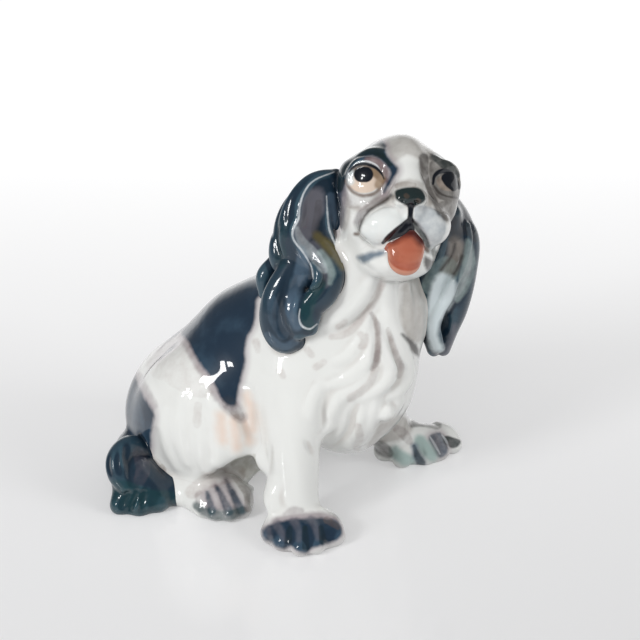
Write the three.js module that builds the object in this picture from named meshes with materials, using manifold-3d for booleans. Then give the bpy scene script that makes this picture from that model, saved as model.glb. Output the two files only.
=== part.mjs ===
// A seated spaniel pup in glazed porcelain: hollow and solid castings that are luted together with slip.
// Millimetres, +Z up. The pup sits on z = 0 and faces -Y, with its left side towards +X.
import * as THREE from 'three';
import { mergeVertices } from 'three/addons/utils/BufferGeometryUtils.js';
import Module from 'manifold-3d';

const wasm = await Module();
wasm.setup();

// Casting
const WALL = 4;
const SLIP_JOINT = 0.3;
const VENT_BORE = 8;

// Rump, whose round is cut flat to make the seat
const RUMP_WIDTH = 72;
const RUMP_LENGTH = 76;
const RUMP_HEIGHT = 53;
const RUMP_SIDE = -2;
const RUMP_BACK = 38;
const SEAT_CUT = 5;

// Back, nape and neck, as thicknesses of the rolls that run up to the head
const LOIN_THICKNESS = 56;
const BACK_THICKNESS = 59;
const SADDLE_THICKNESS = 62;
const NAPE_THICKNESS = 46;
const NECK_BASE = 53;
const NECK_MIDDLE = 46;
const NECK_TOP = 38;

// Chest, and the two tiers of the ruff of long coat on it
const CHEST_WIDTH = 56;
const CHEST_LENGTH = 55;
const CHEST_HEIGHT = 76;
const RUFF_WIDTH = 44;
const RUFF_LENGTH = 42;
const RUFF_HEIGHT = 55;
const BIB_WIDTH = 46;
const BIB_LENGTH = 40;
const BIB_HEIGHT = 54;

// Thighs, folded up beside the rump
const THIGH_THICKNESS = 38;
const THIGH_LENGTH = 66;
const THIGH_HEIGHT = 70;
const THIGH_SPREAD = 48;
const THIGH_SLOPE = 25;

// The open space under the belly, between each thigh and the foreleg in front of it
const GAP_WIDTH = 56;
const GAP_LENGTH = 44;
const GAP_HEIGHT = 19;
const GAP_SPREAD = 76;
const GAP_SLOPE = 38.5;

// Forelegs and feet
const FORELEG_SHOULDER = 32;
const FORELEG_ELBOW = 25;
const FORELEG_WRIST = 20;
const FEATHER_THICKNESS = 10;
const FEATHER_TIP = 6;
const TOE_THICKNESS = 9;
const TOE_FAN = 30;
const KNUCKLE_HEIGHT = 7;
const TOE_HEIGHT = 4;
const FORE_TOES = 5;
const FORE_REACH = 16;
const FORE_PAD_WIDTH = 34;
const FORE_PAD_LENGTH = 26;
const FORE_PAD_HEIGHT = 19;
const SPLAYED_ANKLE = 18;
const SPLAYED_REACH = 16.5;
const SPLAYED_PAD_WIDTH = 38;
const SPLAYED_PAD_LENGTH = 22;
const SPLAYED_PAD_HEIGHT = 15;
const HIND_TOES = 4;
const HIND_REACH = 14.5;
const HIND_PAD_WIDTH = 22;
const HIND_PAD_LENGTH = 34;
const HIND_PAD_HEIGHT = 18;
const HIND_DOME_WIDTH = 24;
const HIND_DOME_LENGTH = 28;
const HIND_DOME_HEIGHT = 20;
const HIND_SPREAD = 64;

// Head, turned to the pup's right, lifted, and tilted a little to its left
const HEAD_TURN = -50;
const HEAD_LIFT = 22;
const HEAD_TILT = 6;
const HEAD_HEIGHT = 145.5;
const SKULL_WIDTH = 36;
const SKULL_LENGTH = 42;
const SKULL_HEIGHT = 36;
const FOREHEAD_WIDTH = 19;
const FOREHEAD_LENGTH = 26;
const FOREHEAD_HEIGHT = 22;
const THROAT_WIDTH = 37;
const THROAT_LENGTH = 35;
const THROAT_HEIGHT = 31;
const SOCKET_SIZE = 23.5;
const SOCKET_SPREAD = 24;
const EYE_SIZE = 20;
const EYE_SPREAD = 26.4;
const CHEEK_WIDTH = 20;
const CHEEK_LENGTH = 28;
const CHEEK_HEIGHT = 25;
const CHEEK_SPREAD = 28;
const BRIDGE_THICKNESS = 17;
const MUZZLE_WIDTH = 29;
const MUZZLE_LENGTH = 31;
const MUZZLE_HEIGHT = 20;
const LIP_WIDTH = 20;
const LIP_LENGTH = 22;
const LIP_HEIGHT = 18;
const LIP_SPREAD = 18.6;
const LIP_SEAM = 12;
const NOSE_WIDTH = 13.5;
const NOSE_HEIGHT = 9;
const JAW_WIDTH = 30;
const JAW_LENGTH = 31;
const JAW_HEIGHT = 19;
const TONGUE_WIDTH = 15;
const TONGUE_FLATNESS = 0.5;

// Ears: the way they face, how far to the side they are rooted, how thin the leather and its locks are
const EAR_TURN = -47;
const RIGHT_EAR_SIDE = 18.6;
const LEFT_EAR_SIDE = 13.2;
const EAR_FLATNESS = 0.4;
const LOCK_FLATNESS = 0.7;

// Tail
const TAIL_THICKNESS = 15;
const TAIL_END = 17;
const TUFT_THICKNESS = 10;
const CURL_THICKNESS = 11;

// Places in the pup's frame
const SKULL = [12.5, -47.5, HEAD_HEIGHT];
const NECK_HEAD = [10, -42, HEAD_HEIGHT - NECK_TOP / 2];
const NECK_FOOT = [6, -18, 92];
const CHEST = [4, -29, 58];
const RUFF = [11, -41, 84];
const BIB = [2, -41, 59];
const TAIL_TURN = [-45, 51, 12];

const UP = new THREE.Vector3(0, 0, 1);
const BODY_FRAME = new THREE.Matrix4();
const HEAD_FRAME = new THREE.Matrix4()
  .makeRotationFromEuler(new THREE.Euler(radians(-HEAD_LIFT), radians(HEAD_TILT), radians(HEAD_TURN), 'ZXY'))
  .setPosition(...SKULL);

function radians(degrees) {
  return THREE.MathUtils.degToRad(degrees);
}

function solid(geometry) {
  const bare = geometry.clone();
  bare.deleteAttribute('normal');
  bare.deleteAttribute('uv');
  const closed = mergeVertices(bare);
  return new wasm.Manifold(new wasm.Mesh({
    numProp: 3,
    vertProperties: new Float32Array(closed.attributes.position.array),
    triVerts: new Uint32Array(closed.index.array),
  }));
}

// A form is a function of how far it grows past its own surface: 0 for the clay itself, the slip joint where
// it cuts a neighbour, and minus the wall where it hollows a casting.

function ball(at, size, { turn = [0, 0, 0], frame = BODY_FRAME, sides = 14 } = {}) {
  return (grow) => {
    const around = grow <= -WALL ? sides / 2 : sides;
    const round = new THREE.SphereGeometry(0.5, around, Math.round(around * 0.6));
    round.rotateX(Math.PI / 2);
    round.scale(...size.map((across) => across + 2 * grow));
    round.applyMatrix4(new THREE.Matrix4().makeRotationFromEuler(new THREE.Euler(...turn.map(radians))));
    round.translate(...at);
    round.applyMatrix4(frame);
    return solid(round);
  };
}

// Rings square to a smooth path, closed by rounded ends. The rings are thinned along `across` by `flatness`.
function roll(points, thicknesses, options = {}) {
  const { flatness = 1, across = [0, 0, 1], frame = BODY_FRAME, sides = 12, steps = 6 } = options;
  const placed = points.map((point) => new THREE.Vector3(...point).applyMatrix4(frame));
  const path = new THREE.CatmullRomCurve3(placed);
  const squeeze = new THREE.Vector3(...across).transformDirection(frame);
  const girth = new THREE.SplineCurve(thicknesses.map((width, index) => new THREE.Vector2(index, width)));
  const endAngles = [60, 30].map(radians);
  return (grow) => {
    const positions = [];
    const ring = (t, reach, share) => {
      const radius = girth.getPoint(t).y / 2;
      const tangent = path.getTangent(t);
      const thin = squeeze.clone().projectOnPlane(tangent).normalize();
      const wide = new THREE.Vector3().crossVectors(tangent, thin);
      const centre = path.getPoint(t).addScaledVector(tangent, reach * (radius + grow));
      for (let side = 0; side < sides; side += 1) {
        const angle = (2 * Math.PI * side) / sides;
        const spot = centre.clone()
          .addScaledVector(thin, Math.cos(angle) * share * (radius * flatness + grow))
          .addScaledVector(wide, Math.sin(angle) * share * (radius + grow));
        positions.push(...spot.toArray());
      }
    };
    const pole = (t, way) => {
      const radius = girth.getPoint(t).y / 2;
      const tip = path.getPoint(t).addScaledVector(path.getTangent(t), way * (radius + grow));
      positions.push(...tip.toArray());
    };
    endAngles.forEach((angle) => ring(0, -Math.sin(angle), Math.cos(angle)));
    for (let step = 0; step <= steps; step += 1) ring(step / steps, 0, 1);
    endAngles.toReversed().forEach((angle) => ring(1, Math.sin(angle), Math.cos(angle)));
    const rings = positions.length / (3 * sides);
    pole(0, -1);
    pole(1, 1);
    return solid(skin(positions, rings, sides));
  };
}

function skin(positions, rings, sides) {
  const index = [];
  const firstPole = rings * sides;
  const lastPole = firstPole + 1;
  const spot = (ring, side) => ring * sides + (side % sides);
  for (let side = 0; side < sides; side += 1) {
    index.push(firstPole, spot(0, side + 1), spot(0, side));
    index.push(lastPole, spot(rings - 1, side), spot(rings - 1, side + 1));
    for (let ring = 0; ring < rings - 1; ring += 1) {
      index.push(spot(ring, side), spot(ring, side + 1), spot(ring + 1, side + 1));
      index.push(spot(ring, side), spot(ring + 1, side + 1), spot(ring + 1, side));
    }
  }
  const geometry = new THREE.BufferGeometry();
  geometry.setAttribute('position', new THREE.Float32BufferAttribute(positions, 3));
  geometry.setIndex(index);
  return geometry;
}

function together(...forms) {
  return (grow) => forms.map((form) => form(grow)).reduce((whole, next) => whole.add(next));
}

// Everything under a level, wide enough to trim any casting flat
function below(level) {
  const reach = 400;
  const slab = new THREE.BoxGeometry(reach, reach, reach);
  slab.translate(0, 0, level - reach / 2);
  return solid(slab);
}

const onFloor = (form) => form(0).subtract(below(0));
const without = (piece, ...neighbours) =>
  neighbours.reduce((rest, neighbour) => rest.subtract(neighbour(SLIP_JOINT)), piece);

// Torso: rump, back, neck, chest and thighs are one hollow casting
const rumpRound = RUMP_HEIGHT + SEAT_CUT;
const rump = ball(
  [RUMP_SIDE, RUMP_BACK, RUMP_HEIGHT - rumpRound / 2],
  [RUMP_WIDTH, RUMP_LENGTH, rumpRound],
  { sides: 24 },
);
const back = roll(
  [[0, RUMP_BACK + 6, 32], [0, RUMP_BACK - 10, 45], [1, 11, 60], [3, -12, 72]],
  [LOIN_THICKNESS, BACK_THICKNESS, SADDLE_THICKNESS, BACK_THICKNESS],
  { sides: 20 },
);
const nape = roll(
  [[1, 14, 68], [4, -8, 84], [8, -28, 104]],
  [NAPE_THICKNESS, NAPE_THICKNESS],
  { sides: 16, steps: 4 },
);
const neck = roll(
  [NECK_FOOT, [9, -34, 112], NECK_HEAD],
  [NECK_BASE, NECK_MIDDLE, NECK_TOP],
  { sides: 18, steps: 4 },
);
const chest = ball(CHEST, [CHEST_WIDTH, CHEST_LENGTH, CHEST_HEIGHT], { sides: 20 });
const ruff = ball(RUFF, [RUFF_WIDTH, RUFF_LENGTH, RUFF_HEIGHT], { sides: 18 });
const bib = ball(BIB, [BIB_WIDTH, BIB_LENGTH, BIB_HEIGHT], { sides: 18 });
const thigh = (side) => ball(
  [side * THIGH_SPREAD / 2, RUMP_BACK - 13, THIGH_HEIGHT / 2 - 1],
  [THIGH_THICKNESS, THIGH_LENGTH, THIGH_HEIGHT],
  { turn: [-THIGH_SLOPE, 0, 0], sides: 20 },
);
const bellyGap = (side) => ball(
  [side * GAP_SPREAD / 2, RUMP_BACK - 34, 16],
  [GAP_WIDTH, GAP_LENGTH, GAP_HEIGHT],
  { turn: [-GAP_SLOPE, 0, 0], sides: 16 },
);
const gaps = together(bellyGap(1), bellyGap(-1));
const fullTorso = together(rump, back, nape, neck, chest, ruff, bib, thigh(1), thigh(-1));
const torsoForm = (grow) => fullTorso(grow).subtract(gaps(-grow));

function makeTorso() {
  const vent = new THREE.CylinderGeometry(VENT_BORE / 2, VENT_BORE / 2, 4 * WALL, 24);
  vent.rotateX(Math.PI / 2);
  vent.translate(RUMP_SIDE, RUMP_BACK, 0);
  const inside = together(rump, back, nape, neck, chest)(-WALL).subtract(below(WALL)).subtract(gaps(WALL));
  return onFloor(torsoForm).subtract(inside).subtract(solid(vent));
}

// Head: skull, eyes in their sockets, cheeks, muzzle, lips and nose are one casting, hollow and open below
const onHead = (at, size, options) => ball(at, size, { frame: HEAD_FRAME, ...options });
const skull = onHead([0, 4, 2.5], [SKULL_WIDTH, SKULL_LENGTH, SKULL_HEIGHT], { sides: 20 });
const throat = onHead([0, 0, -21], [THROAT_WIDTH, THROAT_LENGTH, THROAT_HEIGHT], { sides: 16 });
const forehead = onHead([0.5, -6, 9], [FOREHEAD_WIDTH, FOREHEAD_LENGTH, FOREHEAD_HEIGHT]);
const bridge = roll(
  [[-1, -13, 6], [-1.5, -18, 1], [-2, -22, -3.5]],
  [BRIDGE_THICKNESS, BRIDGE_THICKNESS],
  { frame: HEAD_FRAME, steps: 3 },
);
const muzzle = onHead([0, -12, -8.4], [MUZZLE_WIDTH, MUZZLE_LENGTH, MUZZLE_HEIGHT], { sides: 16 });
const lipSeam = onHead([0, -22, -12.3], [LIP_SEAM, LIP_SEAM, LIP_SEAM]);
const nose = onHead([-1.7, -27, -5], [NOSE_WIDTH, NOSE_HEIGHT + 1, NOSE_HEIGHT], { sides: 10 });
const faceSide = (side) => together(
  onHead([side * SOCKET_SPREAD / 2, -5, 2], [SOCKET_SIZE, SOCKET_SIZE, SOCKET_SIZE], { sides: 16 }),
  onHead([side * EYE_SPREAD / 2, -7.2, 2], [EYE_SIZE, EYE_SIZE, EYE_SIZE], { sides: 16 }),
  onHead([side * CHEEK_SPREAD / 2, -4.5, -10], [CHEEK_WIDTH, CHEEK_LENGTH, CHEEK_HEIGHT]),
  onHead([side * LIP_SPREAD / 2, -18.3, -15.7], [LIP_WIDTH, LIP_LENGTH, LIP_HEIGHT], { sides: 16 }),
);
const headForm = together(skull, throat, forehead, bridge, muzzle, lipSeam, nose, faceSide(1), faceSide(-1));
const jawForm = onHead([-1.7, -9.5, -31], [JAW_WIDTH, JAW_LENGTH, JAW_HEIGHT], { sides: 16 });
const tongueForm = roll(
  [[-1.5, -12, -20], [-2, -22, -24], [-2.5, -23.5, -30]],
  [TONGUE_WIDTH, TONGUE_WIDTH],
  { frame: HEAD_FRAME, flatness: TONGUE_FLATNESS, across: [0, -0.94, 0.34] },
);

function makeHead() {
  const inside = together(skull, throat)(-WALL);
  return without(headForm(0), torsoForm).subtract(inside);
}

// Toes that fan out from the middle of a foot, about the way that it points
function toes(middle, heading, count, reach) {
  const [x, y] = middle;
  const fan = [];
  for (let index = 0; index < count; index += 1) {
    const angle = radians(heading + (index - (count - 1) / 2) * TOE_FAN);
    const [across, ahead] = [reach * Math.cos(angle), reach * Math.sin(angle)];
    const spot = (share, height) => [x + share * across, y + share * ahead, height];
    const bones = [spot(0.3, KNUCKLE_HEIGHT), spot(0.65, KNUCKLE_HEIGHT - 0.5), spot(1, TOE_HEIGHT)];
    fan.push(roll(bones, [TOE_THICKNESS, TOE_THICKNESS], { sides: 10, steps: 3 }));
  }
  return together(...fan);
}

const feather = (points) => roll(points, [FEATHER_THICKNESS, FEATHER_TIP], { sides: 10, steps: 4 });
const rightForelegForm = together(
  roll(
    [[-16, -14, 62], [-26, -19, 42], [-30, -22, 20], [-32, -24, 9]],
    [FORELEG_SHOULDER, FORELEG_ELBOW, FORELEG_WRIST, FORELEG_WRIST],
  ),
  feather([[-25, -8, 37], [-29, -6.5, 31], [-33, -9, 25]]),
  feather([[-34, -17, 22], [-38, -15.5, 17], [-41, -17.5, 11]]),
  ball([-38, -30, 3], [FORE_PAD_LENGTH, FORE_PAD_WIDTH, FORE_PAD_HEIGHT], { turn: [0, 0, 25] }),
  toes([-35, -28], 203, FORE_TOES, FORE_REACH),
);
const leftForelegForm = together(
  roll([[22, -26, 54], [32, -30, 30], [40, -34, 10]], [FORELEG_SHOULDER, FORELEG_ELBOW, FORELEG_WRIST]),
  roll([[45.5, -33, 9], [47, -41, 7], [54, -48, 6]], [SPLAYED_ANKLE, SPLAYED_ANKLE * 0.75], { steps: 4 }),
  ball([45.5, -43.5, 3], [SPLAYED_PAD_WIDTH, SPLAYED_PAD_LENGTH, SPLAYED_PAD_HEIGHT], { turn: [0, 0, -62] }),
  toes([50, -38], 230, FORE_TOES, SPLAYED_REACH),
);
const hindFoot = (side) => together(
  ball(
    [side * (HIND_SPREAD / 2 + 1), RUMP_BACK - 14, 5],
    [HIND_PAD_WIDTH, HIND_PAD_LENGTH, HIND_PAD_HEIGHT],
    { turn: [0, 0, 10 * side] },
  ),
  ball(
    [side * (HIND_SPREAD / 2 + 1), RUMP_BACK - 25, 3],
    [HIND_DOME_WIDTH, HIND_DOME_LENGTH, HIND_DOME_HEIGHT],
    { turn: [0, 0, -20 * side] },
  ),
  toes([side * (HIND_SPREAD / 2 - 1), RUMP_BACK - 24], 270 + 61 * side, HIND_TOES, HIND_REACH),
);
const rightHindFootForm = hindFoot(-1);
const leftHindFootForm = hindFoot(1);

// Tail: it comes round the pup's right hip, curls over on itself, and ends in a fanned tuft on the floor
const tuftTips = [[-57, 50, 3], [-54, 42, 3.5], [-48, 36, 4], [-40, 33, 4.5]];
const tailForm = together(
  roll([[-10, RUMP_BACK + 26, 12], [-28, 62, 14], [-40, 54, 13], [-46, 47, 10]], [TAIL_THICKNESS, TAIL_END]),
  ...tuftTips.map((tip) => roll([TAIL_TURN, tip], [TAIL_THICKNESS, TUFT_THICKNESS], { sides: 10, steps: 3 })),
  roll(
    [[-36, 51, 20], [-43, 54, 23], [-49, 55, 21], [-53, 52, 16], [-55, 48, 11]],
    [CURL_THICKNESS - 1, CURL_THICKNESS, CURL_THICKNESS, CURL_THICKNESS - 1, FEATHER_TIP],
    { sides: 10 },
  ),
);

// Ears: a thin leather from the side of the skull, with wavy locks on it. Points are counted from the ear's
// root, in axes that turn with the ears but stay upright, because the ears hang.
const onSkull = (x, y, z) => new THREE.Vector3(x, y, z).applyMatrix4(HEAD_FRAME);
const rightEarRoot = onSkull(-RIGHT_EAR_SIDE, 5.2, 3);
const leftEarRoot = onSkull(LEFT_EAR_SIDE, 6.8, 5.4);

function hanging(root, points, thicknesses, { across, ...options }) {
  const turned = (vector) => new THREE.Vector3(...vector).applyAxisAngle(UP, radians(EAR_TURN));
  const route = points.map((point) => turned(point).add(root).toArray());
  return roll(route, thicknesses, { across: turned(across).toArray(), ...options });
}

function rightEar() {
  const across = [-0.2, -0.96, 0.15];
  const leather = { across, flatness: EAR_FLATNESS };
  const lock = { across, flatness: LOCK_FLATNESS, sides: 10 };
  const flap = [[0, 0, 0], [-13, -3, -6], [-19, -6, -16], [-19, -8, -26], [-17, -12, -35]];
  const rim = [[-13, 0, -2], [-22, 0, -13], [-25, -2, -24], [-24, -6, -34]];
  const outerLock = [[-24, 3, -16], [-30, 2, -24], [-31, -1, -31], [-30, -4, -37]];
  const hindLock = [[-28, 2, -36], [-34, 2, -42], [-35, 0, -49]];
  const longLock = [[-20, -7, -29], [-26, -9, -38], [-31, -10, -47], [-33, -12, -56], [-31, -14, -63]];
  const upperCurl = [[-16, -8, -22], [-14, -13, -29], [-12, -17, -35]];
  const lowerCurl = [[-15, -19, -42], [-20, -18, -48], [-22, -19, -55]];
  return together(
    hanging(rightEarRoot, flap, [10, 18, 22, 22, 16], leather),
    hanging(rightEarRoot, rim, [8, 12, 14, 12], lock),
    hanging(rightEarRoot, outerLock, [6, 10, 11, 7], lock),
    hanging(rightEarRoot, hindLock, [7, 8, 5], lock),
    hanging(rightEarRoot, longLock, [12, 16, 17, 17, 14], lock),
    hanging(rightEarRoot, [...upperCurl, ...lowerCurl], [10, 11, 12, 12, 11, 9], lock),
  );
}

function leftEar() {
  const across = [0.76, -0.57, 0.2];
  const leather = { across, flatness: EAR_FLATNESS };
  const lock = { across, flatness: LOCK_FLATNESS, sides: 10 };
  const flap = [[0, 0, 0], [12, -4, -18], [16, -4, -30], [14, -4, -44], [11, -3, -57]];
  const outerLock = [[11, -3, -17], [18, -4, -29], [18, -3, -45], [14, -3, -60], [7, -3, -77]];
  const innerLock = [[7, -5, -29], [7, -5, -41], [3, -4, -52], [2, -4, -63], [4, -4, -77]];
  return together(
    hanging(leftEarRoot, flap, [10, 15, 18, 18, 12], leather),
    hanging(leftEarRoot, outerLock, [8, 10, 12, 12, 8], lock),
    hanging(leftEarRoot, innerLock, [8, 10, 11, 11, 8], lock),
  );
}

const porcelain = new THREE.MeshStandardMaterial({ color: 0xf0eee8, roughness: 0.12, metalness: 0 });
const blackCoat = new THREE.MeshStandardMaterial({ color: 0x2b3945, roughness: 0.1, metalness: 0 });
const tongueRed = new THREE.MeshStandardMaterial({ color: 0xb05a3c, roughness: 0.12, metalness: 0 });

function casting(name, shape, material) {
  const { vertProperties, triVerts } = shape.getMesh();
  const geometry = new THREE.BufferGeometry();
  geometry.setAttribute('position', new THREE.BufferAttribute(vertProperties, 3));
  geometry.setIndex(new THREE.BufferAttribute(triVerts, 1));
  geometry.computeVertexNormals();
  const mesh = new THREE.Mesh(geometry, material);
  mesh.name = name;
  return mesh;
}

const pup = new THREE.Group();
pup.add(
  casting('torso', makeTorso(), porcelain),
  casting('head', makeHead(), porcelain),
  casting('lower_jaw', without(jawForm(0), torsoForm, headForm), porcelain),
  casting('tongue', without(tongueForm(0), torsoForm, headForm, jawForm), tongueRed),
  casting('right_ear', without(rightEar()(0), torsoForm, headForm, jawForm, rightForelegForm), blackCoat),
  casting('left_ear', without(leftEar()(0), torsoForm, headForm, jawForm, leftForelegForm), blackCoat),
  casting('right_foreleg', without(onFloor(rightForelegForm), torsoForm), porcelain),
  casting('left_foreleg', without(onFloor(leftForelegForm), torsoForm), porcelain),
  casting('right_hind_foot', without(onFloor(rightHindFootForm), torsoForm), porcelain),
  casting('left_hind_foot', without(onFloor(leftHindFootForm), torsoForm), porcelain),
  casting('tail', without(onFloor(tailForm), torsoForm, rightHindFootForm), blackCoat),
);

// The origin lies under the middle of the whole figure
const extent = new THREE.Box3().setFromObject(pup);
const middle = extent.getCenter(new THREE.Vector3());
pup.position.set(-middle.x, -middle.y, 0);

export default pup;
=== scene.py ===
"""Seated spaniel pup in glazed porcelain, white with blue-black markings.

The figure is made the way a modeller makes one. Balls and rolls of clay are pressed together,
hair is combed in, the lump is cut at the seams of the casting, and colour is brushed on under
a clear glaze, among it painted shade and painted highlights. Clay is worked in millimetres on a
stand whose axes are the frame's, moved by STAND. The dog faces -Y, its left is +X, and the floor is at zero.
"""
from typing import Callable, NamedTuple

import bpy
import numpy as np
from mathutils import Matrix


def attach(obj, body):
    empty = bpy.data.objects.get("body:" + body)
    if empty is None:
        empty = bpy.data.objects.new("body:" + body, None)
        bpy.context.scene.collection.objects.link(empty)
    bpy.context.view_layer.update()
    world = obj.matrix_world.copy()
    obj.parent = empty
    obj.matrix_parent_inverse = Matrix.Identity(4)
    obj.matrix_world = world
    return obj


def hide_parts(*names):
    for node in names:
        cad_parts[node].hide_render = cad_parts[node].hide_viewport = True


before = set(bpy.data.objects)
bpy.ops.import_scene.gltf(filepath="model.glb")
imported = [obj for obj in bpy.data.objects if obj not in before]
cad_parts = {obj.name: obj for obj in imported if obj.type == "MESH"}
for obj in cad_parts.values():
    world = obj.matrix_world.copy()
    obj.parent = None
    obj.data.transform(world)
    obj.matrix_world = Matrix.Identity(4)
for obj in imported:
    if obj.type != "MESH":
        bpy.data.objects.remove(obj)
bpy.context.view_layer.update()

import openvdb
from mathutils import Matrix

MM = 0.001
STAND = np.array((0.720, 1.215, 0.0))

# A distance in mm that stands for no clay near, and how far each form's box reaches past the form
FAR = 40.0
MARGIN = 4.0


# The photograph's view of the stand

PHOTO_SIZE = 640
VIEW_AZIMUTH = -62.0
VIEW_ELEVATION = 26.0
VIEW_DISTANCE = 760.0
VIEW_TARGET = np.array((15.0, -10.0, 75.0))
VIEW_FOCAL = 1750.0
SENSOR = 36.0


class PhotoView:
    """The photograph's camera: directions, and the rays through its pixels."""

    def __init__(self):
        turn, lift = np.radians((VIEW_AZIMUTH, VIEW_ELEVATION))
        back = np.array((np.sin(turn) * np.cos(lift), -np.cos(turn) * np.cos(lift), np.sin(lift)))
        self.ahead = -back
        self.place = VIEW_TARGET + back * VIEW_DISTANCE
        self.right = np.cross(self.ahead, (0, 0, 1))
        self.right /= np.linalg.norm(self.right)
        self.up = np.cross(self.right, self.ahead)

    def rays(self, pixels):
        """Unit directions through pixels of the 640 pixel square frame, one column each."""
        across, down = (np.asarray(pixels, float).T - PHOTO_SIZE / 2) / VIEW_FOCAL
        rays = self.ahead[:, None] + self.right[:, None] * across - self.up[:, None] * down
        return rays / np.linalg.norm(rays, axis=0)

    def at_depth(self, pixel, depth):
        """The point on a pixel's ray that lies depth behind the plane of the view's target."""
        ray = self.rays([pixel])[:, 0]
        return self.place + ray * (VIEW_DISTANCE + depth) / (ray @ self.ahead)

    def at_height(self, pixel, height):
        """The point on a pixel's ray that lies that high over the floor."""
        ray = self.rays([pixel])[:, 0]
        return self.place + ray * (height - self.place[2]) / ray[2]


VIEW = PhotoView()


# Clay: forms, and the distance to them

class Form(NamedTuple):
    piece: str
    kind: str
    blend: float
    low: np.ndarray
    high: np.ndarray
    distance: Callable


FORMS = []


def turned(yaw=0.0, pitch=0.0, roll=0.0):
    """Turn about Z, then about the turned Y, then about the turned X, in degrees."""
    y, p, r = np.radians((yaw, pitch, roll))
    about_z = np.array(((np.cos(y), -np.sin(y), 0), (np.sin(y), np.cos(y), 0), (0, 0, 1)))
    about_y = np.array(((np.cos(p), 0, np.sin(p)), (0, 1, 0), (-np.sin(p), 0, np.cos(p))))
    about_x = np.array(((1, 0, 0), (0, np.cos(r), -np.sin(r)), (0, np.sin(r), np.cos(r))))
    return about_z @ about_y @ about_x


def smooth_min(a, b, blend):
    """The lesser of two distances, rounded where they are within blend of each other."""
    if blend <= 0:
        return np.minimum(a, b)
    near = np.maximum(blend - np.abs(a - b), 0) / blend
    return np.minimum(a, b) - near * near * blend / 4


def curve_spans(knots, per_span):
    """Rows along a smooth curve through knots, from the second of them to the last but one."""
    steps = np.linspace(0, 1, per_span, endpoint=False)[:, None]
    spans = []
    for a, b, c, d in zip(knots[:-3], knots[1:-2], knots[2:-1], knots[3:]):
        bend = 2 * a - 5 * b + 4 * c - d
        twist = 3 * b - a - 3 * c + d
        spans.append((2 * b + (c - a) * steps + bend * steps ** 2 + twist * steps ** 3) / 2)
    return np.vstack(spans)


def smooth_path(points, values, per_span=10):
    """A smooth curve through points, with a value carried along it as its last column."""
    knots = np.column_stack((np.asarray(points, float), np.broadcast_to(values, len(points))))
    ends = np.vstack((2 * knots[0] - knots[1], knots, 2 * knots[-1] - knots[-2]))
    return np.vstack((curve_spans(ends, per_span), knots[-1:]))


def spans_of(knots, points):
    """For each span of a path: the offsets from its nearest point, and the value carried there."""
    for a, b in zip(knots[:-1].astype(np.float32), knots[1:].astype(np.float32)):
        run = b - a
        x, y, z = (points[k] - a[k] for k in range(3))
        along = (x * run[0] + y * run[1] + z * run[2]) / max(float(run[:3] @ run[:3]), 1e-9)
        along = np.clip(along, 0, 1)
        yield x - along * run[0], y - along * run[1], z - along * run[2], a[3] + along * run[3]


def ball(centre, radii, axes=None):
    """An egg about a centre, with its radii along the columns of axes."""
    centre = np.asarray(centre, np.float32)
    radii = np.broadcast_to(np.asarray(radii, np.float32), 3)
    axes = np.eye(3) if axes is None else axes
    half = np.sqrt(((axes * radii) ** 2).sum(1))

    def distance(points):
        offset = axes.T.astype(np.float32) @ (points - centre[:, None])
        near = np.sqrt(((offset / radii[:, None]) ** 2).sum(0))
        slope = np.sqrt(((offset / radii[:, None] ** 2) ** 2).sum(0))
        return near * (near - 1) / np.maximum(slope, 1e-6)

    return centre - half, centre + half, distance


def roll(points, radii, flat=None):
    """A roll of clay along a smooth path.

    flat is a direction, and the share of the roll's width that is left along it.
    """
    knots = smooth_path(points, radii)
    knots[:, 3] = np.maximum(knots[:, 3], 0.05)
    wide = knots[:, 3].max()

    def distance(places):
        best = np.float32(FAR)
        for x, y, z, radius in spans_of(knots, places):
            span = x * x + y * y + z * z
            if flat is None:
                best = np.minimum(best, np.sqrt(span) - radius)
                continue
            normal = np.asarray(flat[0], np.float32) / np.float32(np.linalg.norm(flat[0]))
            extra = np.float32(1 / flat[1] ** 2 - 1)
            across = (x * normal[0] + y * normal[1] + z * normal[2]) ** 2
            squeezed = np.sqrt(span + across * extra)
            steep = np.sqrt(span + across * (2 * extra + extra ** 2)) / np.maximum(squeezed, 1e-6)
            best = np.minimum(best, (squeezed - radius) / np.maximum(steep, 1))
        return best

    return knots[:, :3].min(0) - wide, knots[:, :3].max(0) + wide, distance


def press(piece, shape, blend=4.0):
    """Presses a shape of clay on to the lump, rounding the join by blend."""
    low, high, distance = shape
    reach = blend + MARGIN
    FORMS.append(Form(piece, "press", blend, low - reach, high + reach, distance))


def carve(shape, blend=1.0):
    """Cuts a shape out of the lump."""
    low, high, distance = shape
    reach = blend + MARGIN
    FORMS.append(Form("", "carve", blend, low - reach, high + reach, distance))


def comb(points, width, depth, taper=True):
    """Draws a groove of a half width and depth along a path, fading at its ends.

    A negative depth raises a lock.
    """
    count = len(points)
    ends = np.sin(np.linspace(0, np.pi, count)) if taper and count > 2 else np.ones(count)
    knots = smooth_path(points, depth * np.maximum(ends, 0.12))
    reach = 3 * width

    def distance(places):
        best = np.full(places.shape[1], np.float32(FAR))
        cut = np.zeros(places.shape[1], np.float32)
        for x, y, z, value in spans_of(knots, places):
            span = np.sqrt(x * x + y * y + z * z)
            closer = span < best
            best = np.where(closer, span, best)
            cut = np.where(closer, value, cut)
        return cut * np.exp(-(best / np.float32(width)) ** 2)

    low, high = knots[:, :3].min(0) - reach, knots[:, :3].max(0) + reach
    FORMS.append(Form("", "comb", width, low, high, distance))


# How steeply a piece sinks under its neighbour past their seam, and how far past it the piece ends in mm
SEAM_DIVE = 1.5
SEAM_DEPTH = 3.0


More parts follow.
